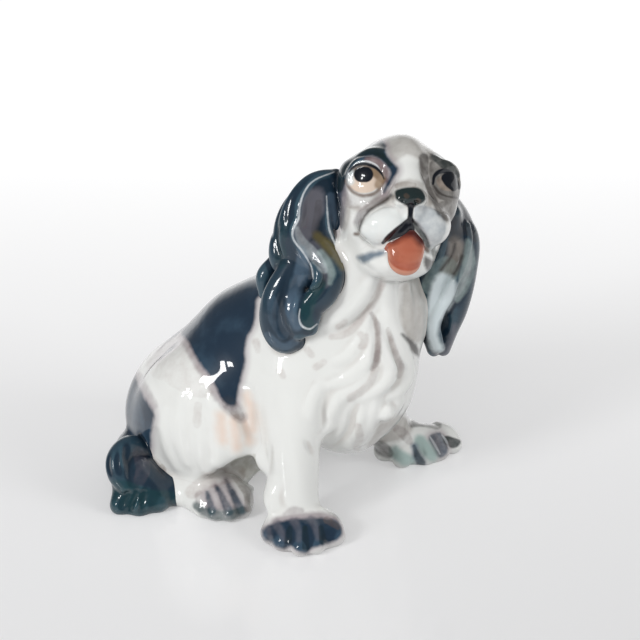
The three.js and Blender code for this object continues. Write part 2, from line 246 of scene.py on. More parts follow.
def clay(places, piece=None):
    """Distance in mm from places, one column each, to the figure's surface, less than zero inside.

    With a piece's name it is the distance to that piece alone: on its own side of a seam it has
    the figure's surface, and past the seam it dives under its neighbour and ends.
    """
    order = np.argsort(places[0], kind="stable")
    points = np.ascontiguousarray(places[:, order], np.float32)
    whole = np.full(points.shape[1], np.float32(FAR))
    mine = whole.copy()
    others = whole.copy()
    for form in FORMS:
        first, last = np.searchsorted(points[0], (form.low[0], form.high[0]))
        slab = points[:, first:last]
        inside = (slab[1] > form.low[1]) & (slab[1] < form.high[1])
        inside &= (slab[2] > form.low[2]) & (slab[2] < form.high[2])
        near = first + np.flatnonzero(inside)
        if not near.size:
            continue
        distance = form.distance(points[:, near]).astype(np.float32)
        if form.kind == "comb":
            whole[near] += distance
        elif form.kind == "carve":
            whole[near] = -smooth_min(-whole[near], distance, form.blend)
        else:
            whole[near] = smooth_min(whole[near], distance, form.blend)
            side = mine if form.piece == piece else others
            side[near] = np.minimum(side[near], distance)
    whole = np.maximum(whole, -points[2])
    if piece is not None:
        seam = (mine - others) / 2
        whole = np.maximum(whole + SEAM_DIVE * np.maximum(seam, 0), seam - SEAM_DEPTH)
    result = np.empty_like(whole)
    result[order] = whole
    return result


CORNERS = np.array(((1, 1, 1), (1, -1, -1), (-1, 1, -1), (-1, -1, 1)), float)


def slope(places, radius, piece=None):
    """The mean distance and its gradient, from four corners about each place."""
    values = [clay(places + radius * corner[:, None], piece) for corner in CORNERS]
    gradient = sum(value * corner[:, None] for value, corner in zip(values, CORNERS))
    return sum(values) / 4, gradient / (4 * radius)


def settle(places, radius, piece=None, reach=1.0):
    """Moves places to the surface, by no more than reach."""
    distance, gradient = slope(places, radius, piece)
    step = distance / np.maximum((gradient ** 2).sum(0), 0.25)
    return places - gradient * np.clip(step, -reach, reach)


# A ray starts this far in mm before the view's target, and takes at most so many steps. A step near the
# clay is this share of the gap, and the rays have met the clay when no gap is over RAY_CLOSE.
RAY_START = 130.0
RAY_STEPS = 70
RAY_SHARE = 0.85
RAY_CLOSE = 0.01


def on_clay(pixels):
    """Where the photograph's rays through these pixels meet the clay, one row each."""
    rays = VIEW.rays(pixels)
    depth = np.full(rays.shape[1], VIEW_DISTANCE - RAY_START)
    for _ in range(RAY_STEPS):
        gap = clay(VIEW.place[:, None] + rays * depth)
        depth += np.where(gap > MARGIN, MARGIN, RAY_SHARE * np.maximum(gap, -2))
        if np.abs(gap).max() < RAY_CLOSE:
            break
    return (VIEW.place[:, None] + rays * depth).T


def comb_lines(lines, width, depth, taper=True):
    """Combs several lines of pixels of the photograph into the clay."""
    points = on_clay([pixel for line in lines for pixel in line])
    for line in lines:
        comb(points[:len(line)], width, depth, taper)
        points = points[len(line):]


# The head's own axes

HEAD_AT = np.array((12.5, -47.5, 145.5))
HEAD_HEADING = -50.0
HEAD_LIFT = 22.0
HEAD_TILT = -6.0


class HeadAxes:
    """Forward, left and top of the head, from the middle of the skull."""

    def __init__(self):
        heading, lift, tilt = np.radians((HEAD_HEADING, HEAD_LIFT, HEAD_TILT))
        level = np.array((np.sin(heading), -np.cos(heading), 0))
        forward = level * np.cos(lift) + np.array((0, 0, np.sin(lift)))
        left = np.cross((0, 0, 1), level)
        top = np.cross(forward, left)
        tilted_left = left * np.cos(tilt) + top * np.sin(tilt)
        tilted_top = top * np.cos(tilt) - left * np.sin(tilt)
        self.axes = np.column_stack((forward, tilted_left, tilted_top))

    def at(self, forward, left, top):
        return HEAD_AT + self.axes @ np.array((forward, left, top), float)

    def path(self, *places):
        return [self.at(*place) for place in places]

    def seen(self, pixel, forward):
        """The point on a pixel's ray that lies that far forward of the skull's middle."""
        ray = VIEW.rays([pixel])[:, 0]
        ahead = self.axes[:, 0]
        return VIEW.place + ray * ((forward - (VIEW.place - HEAD_AT) @ ahead) / (ray @ ahead))

    def turn(self, yaw=0.0, pitch=0.0, roll=0.0):
        return self.axes @ turned(yaw, pitch, roll)


HEAD = HeadAxes()


# The forms of each piece

SIDES = (-1, 1)


def raised(pixels, lift):
    """Points over the clay at these pixels, lifted off its surface along its slope."""
    points = on_clay(pixels).T
    gradient = slope(points, 0.8)[1]
    return (points + lift * gradient / np.maximum(np.linalg.norm(gradient, axis=0), 0.3)).T


TORSO_BLEND = 8


def model_torso():
    """Rump, back, withers, chest, neck and thighs, with the space under each flank cut away."""
    rump = ball((-2, 38, 24), (35, 38, 29))
    press("torso", rump, 0)
    back = [(0, 44, 32), (0, 28, 45), (1, 11, 60), (3, -12, 72)]
    press("torso", roll(back, [28, 29.5, 31, 29.5]), TORSO_BLEND)
    withers = [(1, 14, 68), (4, -8, 84), (8, -28, 104)]
    press("torso", roll(withers, [21.5, 22, 20]), TORSO_BLEND)
    ribs = ball((5, -28, 58), (26, 26, 37))
    bib = ball((13, -40, 84), (20, 20, 26))
    breast = ball((6, -40, 60), (20, 18, 24))
    for form in (ribs, bib, breast):
        press("torso", form, TORSO_BLEND)
    neck = [(6, -18, 92), (9, -34, 112), (10, -42, 126)]
    press("torso", roll(neck, [25, 22, 19]), TORSO_BLEND)
    for side, place in zip(SIDES, (24, 26)):
        thigh = ball((24 * side, place, 34), (19, 33, 35), turned(0, 0, -25))
        press("torso", thigh, TORSO_BLEND)
        flank = ball((38 * side, 4, 16), (28, 22, 9.5), turned(0, 0, -38.5))
        carve(flank, 3)


CHEST_LOCKS = (
    (((374, 281), (364, 296), (352, 309), (339, 319), (325, 326)), 5.0, 1.9),
    (((391, 284), (390, 303), (389, 319), (396, 337), (404, 353), (411, 367)), 4.6, 2.2),
    (((407, 286), (408, 305), (410, 322), (415, 338)), 4.0, 1.2),
    (((380, 318), (383, 336), (386, 352), (391, 367), (388, 381), (377, 391), (362, 399)), 3.6, 2.4),
    (((402, 346), (409, 363), (409, 378), (401, 390), (391, 397)), 3.2, 1.9),
    (((371, 317), (366, 331), (359, 344), (349, 355), (336, 362)), 3.6, 1.7),
    (((374, 331), (372, 347), (368, 361), (357, 373), (343, 381), (330, 385)), 3.8, 1.9),
    (((373, 364), (370, 377), (357, 388), (343, 396), (335, 409), (331, 423), (322, 434)), 4.2, 2.2),
    (((322, 386), (315, 399), (313, 413), (318, 426)), 4.6, 1.8),
    (((366, 403), (363, 417), (359, 431), (350, 447)), 3.6, 2.2),
    (((377, 396), (375, 411), (370, 427), (362, 443)), 3.6, 2.0),
    (((398, 393), (399, 403), (396, 413)), 3.4, 1.5),
)
CHEST_CREASES = (
    ((379, 279), (378, 296), (370, 308), (360, 319), (349, 328), (335, 334)),
    ((372, 312), (376, 325), (378, 340), (377, 354), (375, 368), (366, 383), (352, 392)),
    ((386, 328), (391, 344), (397, 360), (401, 372), (397, 383), (387, 391)),
    ((363, 402), (354, 413), (352, 426), (346, 437), (330, 448)),
    ((306, 440), (311, 449), (315, 457)),
)
CHEST_KNOB = (386, 412)


def press_locks(piece, locks, blend):
    """Locks of hair: rolls that stand out of the clay by some mm and sink into it at both ends."""
    shapes = []
    for path, radius, stand in locks:
        swell = np.sqrt(np.sin(np.linspace(0.12, np.pi - 0.12, len(path))))
        shapes.append((len(path), radius * (0.5 + 0.5 * swell), stand * swell))
    lifts = np.concatenate([stand - radii for _, radii, stand in shapes])
    points = raised([pixel for path, _, _ in locks for pixel in path], lifts)
    for count, radii, _ in shapes:
        press(piece, roll(points[:count], radii), blend)
        points = points[count:]


THIGH_LOCKS = (
    (((166, 408), (165, 428), (169, 449), (178, 467)), 5.0, 0.9),
    (((180, 396), (178, 418), (180, 441), (188, 462)), 5.0, 0.9),
    (((200, 426), (200, 441), (202, 456), (208, 469)), 5.0, 1.2),
    (((216, 426), (219, 440), (222, 453), (220, 464)), 4.2, 1.2),
    (((209, 396), (212, 409), (214, 421)), 4.4, 0.8),
    (((232, 424), (236, 437), (236, 451)), 3.6, 0.9),
)
FLANK_LINE = ((233, 412), (242, 421), (248, 431), (249, 441))
SHOULDER_RIM = ((241, 388), (248, 391), (252.5, 400), (252, 418), (253, 432))
LEG_RIDGE = ((288, 430), (291, 444), (296, 462), (301, 481), (303, 498))
LEG_HOLLOWS = (((272, 440), (271, 456), (270, 472)), ((284, 484), (281, 498), (284, 510)))


def comb_coat():
    """Long hair on the chest, short waves on the thigh, and the feathering of the foreleg."""
    press_locks("torso", CHEST_LOCKS, 1.6)
    comb_lines(CHEST_CREASES, 1.3, 1.5)
    press("torso", ball(on_clay([CHEST_KNOB])[0], 3.9), 1.5)
    press_locks("torso", THIGH_LOCKS, 3.0)
    comb(on_clay(FLANK_LINE), 2.0, 1.4)
    comb(on_clay(SHOULDER_RIM), 1.8, -1.5)
    comb(on_clay(LEG_RIDGE), 2.6, -0.9)
    comb_lines(LEG_HOLLOWS, 1.6, 0.8)


RIGHT_FORE_TOES = (((283, 520), (270, 533)), ((291, 518), (282, 541)), ((301, 517), (300, 547)),
                   ((312, 517), (316, 545)), ((325, 519), (336, 536)))
LEFT_FORE_TOES = (
    ((394, 441), (384, 451)),
    ((404, 440), (402, 458)),
    ((415, 437), (425, 455)),
    ((426, 434), (438, 450)),
    ((438, 432), (452, 444)),
)
RIGHT_HIND_TOES = (
    ((207, 491), (203, 508)),
    ((214, 487), (215, 512)),
    ((223, 484), (230, 513)),
    ((233, 484), (243, 509)),
)
LEFT_CLEFTS = (
    ((391, 443), (392, 450), (392, 458)),
    ((412, 443), (415, 454), (418, 465)),
    ((419, 446), (422, 455), (426, 463)),
    ((431, 437), (435, 447), (439, 457)),
    ((443, 434), (446, 442), (449, 450)),
)
KNUCKLE_HEIGHT = 7.0
TIP_HEIGHT = 3.8
# How far in mm the middle of a toe rises, and its width there and at its tip as shares of the knuckle's
TOE_RISE = (0, 0, 1.2)
TOE_SWELL = 1.08
TOE_TAPER = 0.95


def traced_toes(piece, toes, plump, blend=2.4, mirrored=False):
    """Toes from knuckle to tip, traced from the photograph, or their image on the other flank."""
    turn = np.array((-1, 1, 1)) if mirrored else 1
    for knuckle, tip in toes:
        top = VIEW.at_height(knuckle, KNUCKLE_HEIGHT) * turn
        end = VIEW.at_height(tip, TIP_HEIGHT) * turn
        middle = (top + end) / 2 + TOE_RISE
        press(piece, roll([top, middle, end], [plump, TOE_SWELL * plump, TOE_TAPER * plump]), blend)


def model_pad(piece, centre, radii, heading):
    """The flat ball of clay that a paw's toes are pressed on to."""
    press(piece, ball(centre, radii, turned(heading)), 4)


ELBOW_FEATHER = (((275, 430), -14), ((268, 447), -14), ((267, 461), -15), ((271, 469), -16))
WRIST_FEATHER = (((282, 478), -18), ((276, 492), -19), ((275, 503), -19), ((279, 511), -20))
LEFT_ANKLE = (((396, 432), 10), ((412, 440), 7), ((432, 439), 6))


def model_right_foreleg():
    """The leg from the shoulder to the wrist, two tufts of feathering behind it, and the paw."""
    leg = [(-16, -14, 62), (-26, -19, 42), (-30, -22, 20), (-32, -24, 9)]
    press("right_foreleg", roll(leg, [16, 12, 10, 9.5]), 7)
    for feather in (ELBOW_FEATHER, WRIST_FEATHER):
        tuft = [VIEW.at_depth(*place) for place in feather]
        press("right_foreleg", roll(tuft, [4, 5, 4.5, 2.5]), 4)
    model_pad("right_foreleg", (-38, -30, 3), (13, 17, 9.5), 25)
    traced_toes("right_foreleg", RIGHT_FORE_TOES, 4.2)


def model_left_foreleg():
    """The splayed leg from the shoulder to the wrist, a broad ankle, and the paw with its clefts."""
    leg = [(22, -26, 54), (32, -30, 30), (40, -34, 10)]
    press("left_foreleg", roll(leg, [16, 12, 9]), 7)
    ankle = [VIEW.at_height(*place) for place in LEFT_ANKLE]
    press("left_foreleg", roll(ankle, [9, 8.5, 6.5]), 4)
    model_pad("left_foreleg", (46, -43, 3), (16, 9.5, 6.5), -62)
    traced_toes("left_foreleg", LEFT_FORE_TOES, 4.9, blend=1.2)
    comb_lines(LEFT_CLEFTS, 0.9, 1.4)


def model_hind_feet():
    """What shows of the tucked hind feet. The left one is the image of the right."""
    for side, piece in zip(SIDES, ("right_hind_foot", "left_hind_foot")):
        model_pad(piece, (33 * side, 24, 5), (11, 17, 9), 10 * side)
        model_pad(piece, (33 * side, 13, 3), (12, 14, 10), -20 * side)
        traced_toes(piece, RIGHT_HIND_TOES, 4.0, mirrored=side > 0)


TAIL_CURL = (((143, 449), 9), ((129, 448), 4), ((119, 459), 0), ((119, 474), -2), ((126, 487), -3))
TAIL_STRANDS = (
    ((128, 494), (121, 507)),
    ((136, 492), (130, 510)),
    ((144, 493), (141, 511)),
    ((110, 455), (108, 466), (112, 478)),
    ((118, 451), (117, 464), (120, 477)),
    ((127, 444), (126, 457), (128, 470)),
)


def model_tail():
    """The root under the rump, a fan of tufts on the floor, and the curl over them."""
    root = [(-10, 64, 12), (-28, 62, 14), (-40, 54, 13), (-46, 47, 10)]
    press("tail", roll(root, [7, 7.5, 8, 8.5]), 3)
    tips = (((-57, 50, 3), 4.5), ((-54, 42, 3.5), 5), ((-48, 36, 4), 5), ((-40, 33, 4.5), 4.5))
    for tip, radius in tips:
        press("tail", roll([(-45, 51, 12), tip], [7, radius]), 5)
    curl = [VIEW.at_depth(*place) for place in TAIL_CURL]
    press("tail", roll(curl, [5, 5.5, 5.5, 5, 3.5]), 0.8)
    comb_lines(TAIL_STRANDS, 1.3, 1.2)


RIGHT_EYE = (371, 178)
LEFT_EYE = (434, 183)
NOSE = (410, 197)
MUZZLE = (406, 206)
RIGHT_LIP = (384, 224)
LEFT_LIP = (429, 225)
TEMPLE = (347.5, 184)
CHIN = (398, 260)
TONGUE = (405, 254)
BROWS = (
    ((352, 164), (360, 156), (371, 151), (383, 154), (392, 163), (397, 173)),
    ((428, 166), (435, 160), (444, 162), (452, 170)),
)
TEAR_LINES = (
    ((398, 160), (396, 173), (389, 186), (378, 197), (366, 203)),
    ((423, 160), (423, 172), (428, 186), (436, 198), (444, 207)),
)
EYE_BAGS = (((348, 196), (357, 201), (369, 200), (381, 192)), ((436, 199), (445, 204), (453, 204)))
BAG_FOLDS = (((345, 205), (356, 209), (370, 205)), ((434, 204), (442, 210), (451, 212)))
LIP_OUTLINES = (
    ((403, 204), (388, 205), (374, 210), (363, 220), (358, 233)),
    ((417, 205), (428, 205), (438, 210), (444, 220)),
)
PHILTRUM = ((411, 206), (411, 214), (411, 223))
MOUTH_LINE = ((381, 245), (395, 235), (404, 227), (411, 223), (417, 228), (424, 237), (428, 246))
LIP_JOIN = (411, 216)


def eye_arc(centre, radius, yaw, pitch, side, wide, high):
    """An eyelid's edge: half an oval on an eyeball, about the way that the eye looks, in degrees."""
    look = HEAD.turn(yaw, -pitch)
    around = np.linspace(0, np.pi, 9)
    across, rise = np.sin(np.radians((wide, high)))
    level = across * np.cos(around)
    lift = side * rise * np.sin(around)
    ahead = np.sqrt(np.maximum(1 - level ** 2 - lift ** 2, 0))
    return centre + radius * (look @ np.array((ahead, level, lift))).T


EYEBALL = 9.5
LID_ARC = 9.7
EYE_MOUND = 11.3
MOUND_BACK = 2.6
# In degrees: how far the lids' middle is tipped, and how far they open over it and under it
LID_TIP = -3
LID_RISE = 46
LID_DROP = 42
UPPER_LID = (0.8, 1.2, 1.6, 1.8, 1.9, 1.8, 1.6, 1.2, 0.8)
LOWER_LID = (0.6, 0.9, 1.1, 1.2, 1.2, 1.2, 1.1, 0.9, 0.6)


def model_eye(pixel, forward, yaw, wide):
    """An eyeball in a soft mound of the face, under a thick upper lid and a thin lower one."""
    centre = HEAD.seen(pixel, forward)
    look = HEAD.turn(yaw)[:, 0]
    press("head", ball(centre - MOUND_BACK * look, EYE_MOUND), 6)
    upper = eye_arc(centre, LID_ARC, yaw, LID_TIP, 1, wide, LID_RISE)
    press("head", roll(upper, UPPER_LID), 1.6)
    lower = eye_arc(centre, LID_ARC, yaw, LID_TIP, -1, wide, LID_DROP)
    press("head", roll(lower, LOWER_LID), 2.5)
    press("head", ball(centre, EYEBALL), 0.3)


def press_egg(piece, centre, radii, blend):
    """An egg of clay whose radii lie forward, across and up the head."""
    press(piece, ball(centre, radii, HEAD.turn()), blend)


def model_head():
    """Skull, forehead, throat, cheeks, eyes, bridge, lips and nose, then the folds between them."""
    skull = HEAD.at(-4, 0, 2.5)
    forehead = HEAD.at(6, 0.5, 9)
    throat = HEAD.at(0, 0, -21)
    right_cheek = HEAD.at(4, -14.5, -11)
    left_cheek = HEAD.at(5, 13.5, -8)
    press_egg("head", skull, (21, 18, 18), 6)
    press_egg("head", forehead, (13, 8.5, 10.8), 5)
    press_egg("head", throat, (17, 18, 15), 6)
    press_egg("head", right_cheek, (14, 9.5, 14), 5)
    press_egg("head", left_cheek, (13, 9, 10), 5)
    press_egg("head", HEAD.seen(MUZZLE, 12), (15, 14, 9.5), 5)
    press_egg("head", HEAD.seen(TEMPLE, 1), (7, 3.8, 8), 4)
    model_eye(RIGHT_EYE, 7.5, -21, 57)
    model_eye(LEFT_EYE, 7, 33, 52)
    bridge = HEAD.path((13, -1, 6), (18, -1.5, 1), (22, -2, -3.5))
    press("head", roll(bridge, [8.5, 8.2, 7.8]), 3.5)
    comb_lines(BROWS, 2.6, -1.2)
    for pixel, forward, wide in ((RIGHT_LIP, 18.5, 10.8), (LEFT_LIP, 18, 8.6)):
        press_egg("head", HEAD.seen(pixel, forward), (10.5, wide, 8.7), 2.5)
    press_egg("head", HEAD.seen(LIP_JOIN, 22), (6.5, 5.5, 5.5), 2)
    comb_lines(TEAR_LINES, 1.9, 1.2)
    comb_lines(EYE_BAGS, 1.6, -0.8)
    comb_lines(BAG_FOLDS, 1.2, 0.7)
    comb_lines(LIP_OUTLINES, 1.0, 0.7)
    comb(on_clay(MOUTH_LINE), 1.2, 2.0)
    model_nose()


def model_nose():
    """A pad with two wings, cut by the nostrils and the groove below it."""
    press_egg("head", HEAD.seen(NOSE, 26.5), (5, 6, 4), 1)
    for side in SIDES:
        wing = HEAD.seen(NOSE, 27.5) + HEAD.axes @ (0, 4.0 * side, -0.7)
        press_egg("head", wing, (3, 2.5, 2.9), 1.6)
        nostril = HEAD.seen(NOSE, 31) + HEAD.axes @ (0, 3.0 * side, -1.9)
        carve(ball(nostril, (2.0, 1.4, 0.7), HEAD.turn(12 * side, 0, -30 * side)), 0.5)
    comb(on_clay(PHILTRUM), 1.0, 1.4, taper=False)


def model_jaw():
    """The chin."""
    press_egg("lower_jaw", HEAD.seen(CHIN, 9.5), (15, 14, 8.4), 6)


def model_tongue():
    """A flat roll from the back of the mouth over the chin."""
    tip = HEAD.seen(TONGUE, 24)
    body = [HEAD.at(12, -1.5, -20), tip + HEAD.axes @ (-1, 0.4, 3.5), tip + HEAD.axes @ (-0.5, 0, -2)]
    press("tongue", roll(body, [7, 7.6, 6.8], (HEAD.axes @ (0.94, 0, 0.34), 0.5)), 0.4)


EAR_RIM = ((331, 173), (318, 179), (308, 190), (301, 203), (299, 218), (294, 231), (297, 243),
           (304, 255), (311, 265), (314, 276), (312, 287))
EAR_FRONT = (
    ((333, 181), -46),
    ((333, 194), -47),
    ((333, 206), -48),
    ((335, 217), -48),
    ((337, 226), -48),
)
LOCK_SIDES = (((296, 272), (291, 288), (287, 304), (287, 320), (293, 336)),
              ((308, 275), (304, 290), (303, 304), (303, 318), (305, 327)))
EAR_VALLEY = ((322, 192), (318, 210), (316, 228), (324, 243), (335, 255))
EAR_FRONT_RIM = ((326, 196), (327, 214), (329, 230), (336, 246), (342, 262))
EAR_INNER_LOCK = ((313, 264), (319, 273), (318, 283), (313, 288))
EAR_STRANDS = (
    ((290, 268), (283, 290), (278, 308), (279, 328), (288, 341)),
    ((304, 262), (297, 282), (291, 300), (290, 318), (296, 332)),
    ((327, 262), (329, 276), (321, 291), (311, 303), (306, 316)),
    ((282, 222), (277, 238), (279, 256)),
    ((296, 190), (289, 208), (287, 226)),
)


def model_right_ear():
    """The leather and its back, the wavy locks over it, and the rolled front edge."""
    out = (-0.85, -0.5, 0.15)
    flap = [(2, -24, 148), (-6, -20, 143), (-12, -18, 133), (-14, -20, 123), (-15, -24, 114)]
    press("right_ear", roll(flap, [4, 9, 11, 11, 8], (out, 0.4)), 0)
    back = [(-4, -18, 147), (-10, -12, 136), (-13, -11, 125), (-16, -15, 115)]
    press("right_ear", roll(back, [4, 6, 7, 6], (out, 0.6)), 1)
    upper_lock = [(-8, -10, 132), (-13, -8, 124), (-16, -9, 117), (-17, -11, 111)]
    press("right_ear", roll(upper_lock, [3, 5, 5.5, 3.5], (out, 0.7)), 0.6)
    hind_lock = [(-13, -4, 113), (-17, -1, 107), (-19, -2, 100)]
    press("right_ear", roll(hind_lock, [3, 3.5, 2.5]), 0.6)
    long_lock = [(-14, -18, 120), (-19, -15, 111), (-24, -12, 102), (-26, -12, 93), (-26, -15, 86),
                 (-24, -19, 84)]
    press("right_ear", roll(long_lock, [5.5, 7, 7.2, 7.4, 6.8, 4], (out, 0.7)), 0.6)
    front_lock = [(-12, -22, 127), (-14, -27, 120), (-16, -31, 114), (-19, -30, 107), (-22, -26, 101),
                  (-24, -25, 95), (-24, -26, 92)]
    press("right_ear", roll(front_lock, [5, 5.5, 6, 6, 5.5, 5, 3.5], (out, 0.7)), 0.6)
    front = [VIEW.at_depth(*place) for place in EAR_FRONT]
    press("right_ear", roll(front, [2, 3.2, 3.2, 2.6, 1.4]), 2)
    sides = [on_clay(side) for side in LOCK_SIDES]
    press("right_ear", roll(sum(sides) / 2 + 2.5 * VIEW.ahead, [3, 4, 4.5, 4.5, 3.5]), 2)
    comb(on_clay(EAR_VALLEY), 4.4, 3.6)
    comb(on_clay(EAR_RIM), 1.7, -2.2)
    comb(on_clay(EAR_FRONT_RIM), 1.4, -1.3)
    press("right_ear", roll(raised(EAR_INNER_LOCK, 0.4), [1.2, 2.1, 2.1, 1.2]), 0.6)
    comb_lines(EAR_STRANDS, 1.3, 0.9)


LEFT_EAR_FRONT = (((453, 214), -40), ((449, 229), -37), ((445, 246), -33))
LEFT_EAR_EDGE = (((443, 256), -31), ((436, 268), -28), ((429, 285), -24), ((428, 304), -20))
LEFT_EAR_RIDGE = ((466, 226), (468, 240), (465, 257), (460, 272), (451, 285))
LEFT_EAR_LOCK = ((455, 282), (446, 295), (438, 311), (433, 327), (436, 338), (439, 346))
LEFT_EAR_HOLLOW = ((449, 316), (444, 328), (446, 342))
LEFT_EAR_STRANDS = (
    ((452, 240), (448, 255), (440, 272)),
    ((458, 248), (454, 262), (444, 280)),
    ((474, 262), (468, 285), (458, 306)),
)


def model_left_ear():
    """The leather, an outer and an inner lock down its length, and the rolls at its edges."""
    out = (0.1, -0.95, 0.2)
    flap = [(27, -60, 139), (32, -65, 129), (35, -68, 117), (34, -66, 103), (32, -63, 90)]
    press("left_ear", roll(flap, [4, 7, 9, 9, 6], (out, 0.45)), 0)
    outer = [(32, -63, 130), (37, -69, 118), (37, -68, 102), (34.5, -66, 87), (32, -63.5, 76),
             (30.2, -62, 67.5)]
    press("left_ear", roll(outer, [4, 5, 6, 6, 5, 4], (out, 0.8)), 0.6)
    inner = [(28, -62, 118), (28, -62, 106), (26, -58, 95), (25, -57, 84), (26, -58, 75), (27, -59, 68)]
    press("left_ear", roll(inner, [4, 5, 5.5, 5.5, 5, 4], (out, 0.8)), 0.6)
    front = [VIEW.at_depth(*place) for place in LEFT_EAR_FRONT]
    press("left_ear", roll(front, [2.6, 3.0, 2.6]), 5)
    edge = [VIEW.at_depth(*place) for place in LEFT_EAR_EDGE]
    press("left_ear", roll(edge, [2, 3.4, 3.6, 2.5]), 4)
    press("left_ear", roll(raised(LEFT_EAR_RIDGE, 0.2), 1.8), 1)
    press("left_ear", roll(raised(LEFT_EAR_LOCK, -0.6), [2, 3.4, 3.8, 3.8, 3.6, 3.2]), 0.8)
    comb(on_clay(LEFT_EAR_HOLLOW), 2.2, 2.2)
    comb_lines(LEFT_EAR_STRANDS, 1.2, 0.9)


def open_vent():
    """The hole under the rump that let the slip out and the air in."""
    carve(roll([(-2, 38, -6), (-2, 38, 12)], 4), 0.5)


# Casting: each piece's mesh, cut from the lump

# The edge in mm of the cells that each piece's mesh is made from
PITCH = {
    "torso": 0.83,
    "head": 0.42,
    "lower_jaw": 0.42,
    "tongue": 0.35,
    "right_ear": 0.5,
    "left_ear": 0.5,
    "right_foreleg": 0.5,
    "left_foreleg": 0.5,
    "right_hind_foot": 0.5,
    "left_hind_foot": 0.5,
    "tail": 0.5,
}
# In cell edges: cells so near the surface are halved, and distances past the band are cut off
NEAR_CELLS = 2.6
BAND_CELLS = 3
SETTLE_REACH = 0.3


def sampled(piece, low, pitch, cells, values=None, kept=None):
    """Distances at the middles of cubic cells, where kept says so, over coarser values elsewhere."""
    if kept is None:
        kept = np.ones(cells, bool)
        values = np.zeros(cells, np.float32)
    index = np.argwhere(kept).T
    values[kept] = clay(low[:, None] + (index + 0.5) * pitch, piece)
    return values


def refined(piece, low, pitch, values):
    """Halves the cells, and samples again those that may hold the surface."""
    close = np.abs(values) < NEAR_CELLS * pitch
    for axis in range(3):
        values = values.repeat(2, axis)
        close = close.repeat(2, axis)
    return sampled(piece, low, pitch, values.shape, values, close)


def cast(piece):
    """The piece's surface as points in mm, one column each, with its triangles and quads."""
    pitch = PITCH[piece] * 1
    forms = [form for form in FORMS if form.piece == piece]
    low = np.min([form.low for form in forms], 0)
    high = np.max([form.high for form in forms], 0)
    low[2] = max(low[2], -2 * pitch)
    cells = np.ceil((high - low) / (4 * pitch)).astype(int) + 1
    values = sampled(piece, low, 4 * pitch, tuple(cells))
    values = refined(piece, low, 2 * pitch, values)
    values = refined(piece, low, pitch, values)
    band = BAND_CELLS * pitch
    grid = openvdb.FloatGrid(band)
    grid.copyFromArray(np.clip(values, -band, band))
    grid.transform = openvdb.createLinearTransform(voxelSize=pitch)
    points, triangles, quads = grid.convertToPolygons(isovalue=0.0, adaptivity=0.0)
    points = points.T + (low + 0.5 * pitch)[:, None]
    points = settle(points, SETTLE_REACH, piece, pitch)
    return points, triangles, quads


# How wide in mm the clay is felt for its curve and for its normal, which is smoother on the broad pieces
CURVE_REACH = 1.6
NORMAL_REACH = 0.45
BROAD_REACH = {"torso": 1.1, "right_foreleg": 1.2, "left_foreleg": 1.0}


def piece_object(piece, points, triangles, quads):
    """The piece as a smooth mesh in the frame, in metres."""
    mesh = bpy.data.meshes.new(piece)
    faces = [*map(tuple, triangles.tolist()), *map(tuple, quads.tolist())]
    places = (points.T + STAND) * MM
    places[:, 2] = np.maximum(places[:, 2], 0)
    mesh.from_pydata(places.tolist(), [], faces)
    mesh.shade_smooth()
    normals = slope(points, BROAD_REACH.get(piece, NORMAL_REACH))[1]
    normals /= np.maximum(np.linalg.norm(normals, axis=0), 1e-6)
    mesh.normals_split_custom_set_from_vertices(normals.T.tolist())
    layers = painted(piece, points, normals)
    layers["curve"] = slope(points, CURVE_REACH)[0]
    for name, values in layers.items():
        mesh.attributes.new(name, "FLOAT", "POINT").data.foreach_set("value", values.astype(np.float32))
    obj = bpy.data.objects.new(piece + "_cast", mesh)
    bpy.context.scene.collection.objects.link(obj)
    return obj


# Brushwork: where each pigment lies on the clay, some of it painted shade, painted shadows and painted
# highlights

PIXELS_PER_MM = 2.4
# The most in mm that a place can lie inside or outside a stroke
PAINT_REACH = 6.0
# A stroke made from the photograph's side ends where the clay's normal has turned so far past the edge
# of the view, as a cosine, and fades before it by so many mm for a whole cosine
TURNED_AWAY = 0.2
TURN_FADE = 15
MIRROR = np.array((-1.0, 1.0, 1.0))
BODY = ("torso", "right_foreleg", "left_foreleg")
HINDQUARTERS = ("right_hind_foot", "left_hind_foot", "torso")


class Stroke(NamedTuple):
    pigment: str
    pieces: tuple
    reach: Callable


STROKES = []


def in_view(places):
    """The photograph's pixels that places are seen at, one column each."""
    offset = places - VIEW.place[:, None]
    scale = VIEW_FOCAL / (VIEW.ahead @ offset)
    return PHOTO_SIZE / 2 + scale * np.array((VIEW.right @ offset, -VIEW.up @ offset))


def turned_to_view(places, normals):
    """How far in mm a stroke made from the photograph's side still reaches: less than zero behind."""
    rays = places - VIEW.place[:, None]
    facing = -(rays * normals).sum(0) / np.linalg.norm(rays, axis=0)
    return TURN_FADE * (facing + TURNED_AWAY)


def seen_from(reach, both):
    """A stroke made from the photograph's side, and if both is set on the other flank too."""

    def distance(places, normals):
        shown = turned_to_view(places, normals)
        near = np.minimum(reach(in_view(places)), shown)
        if not both:
            return near
        places = places * MIRROR[:, None]
        normals = normals * MIRROR[:, None]
        far = np.minimum(reach(in_view(places)), turned_to_view(places, normals))
        return np.maximum(near, np.minimum(far, PAINT_REACH - shown))

    return distance


def line(pigment, pieces, path, radii, thick=PAINT_REACH, both=False):
    """A brush drawn along pixels, with radii in pixels.

    thick is the most in mm that its middle counts for, so that a thin one is a wash.
    """
    knots = smooth_path(path, radii, per_span=4)

    def reach(pixels):
        best = knots[0, 2] - np.hypot(*(pixels - knots[0, :2, None]))
        for a, b in zip(knots[:-1], knots[1:]):
            run = b - a
            offset = pixels - a[:2, None]
            along = np.clip(run[:2] @ offset / (run[:2] @ run[:2]), 0, 1)
            off = np.hypot(*(offset - run[:2, None] * along))
            best = np.maximum(best, a[2] + run[2] * along - off)
        return np.minimum(best / PIXELS_PER_MM, thick)

    STROKES.append(Stroke(pigment, pieces, seen_from(reach, both)))


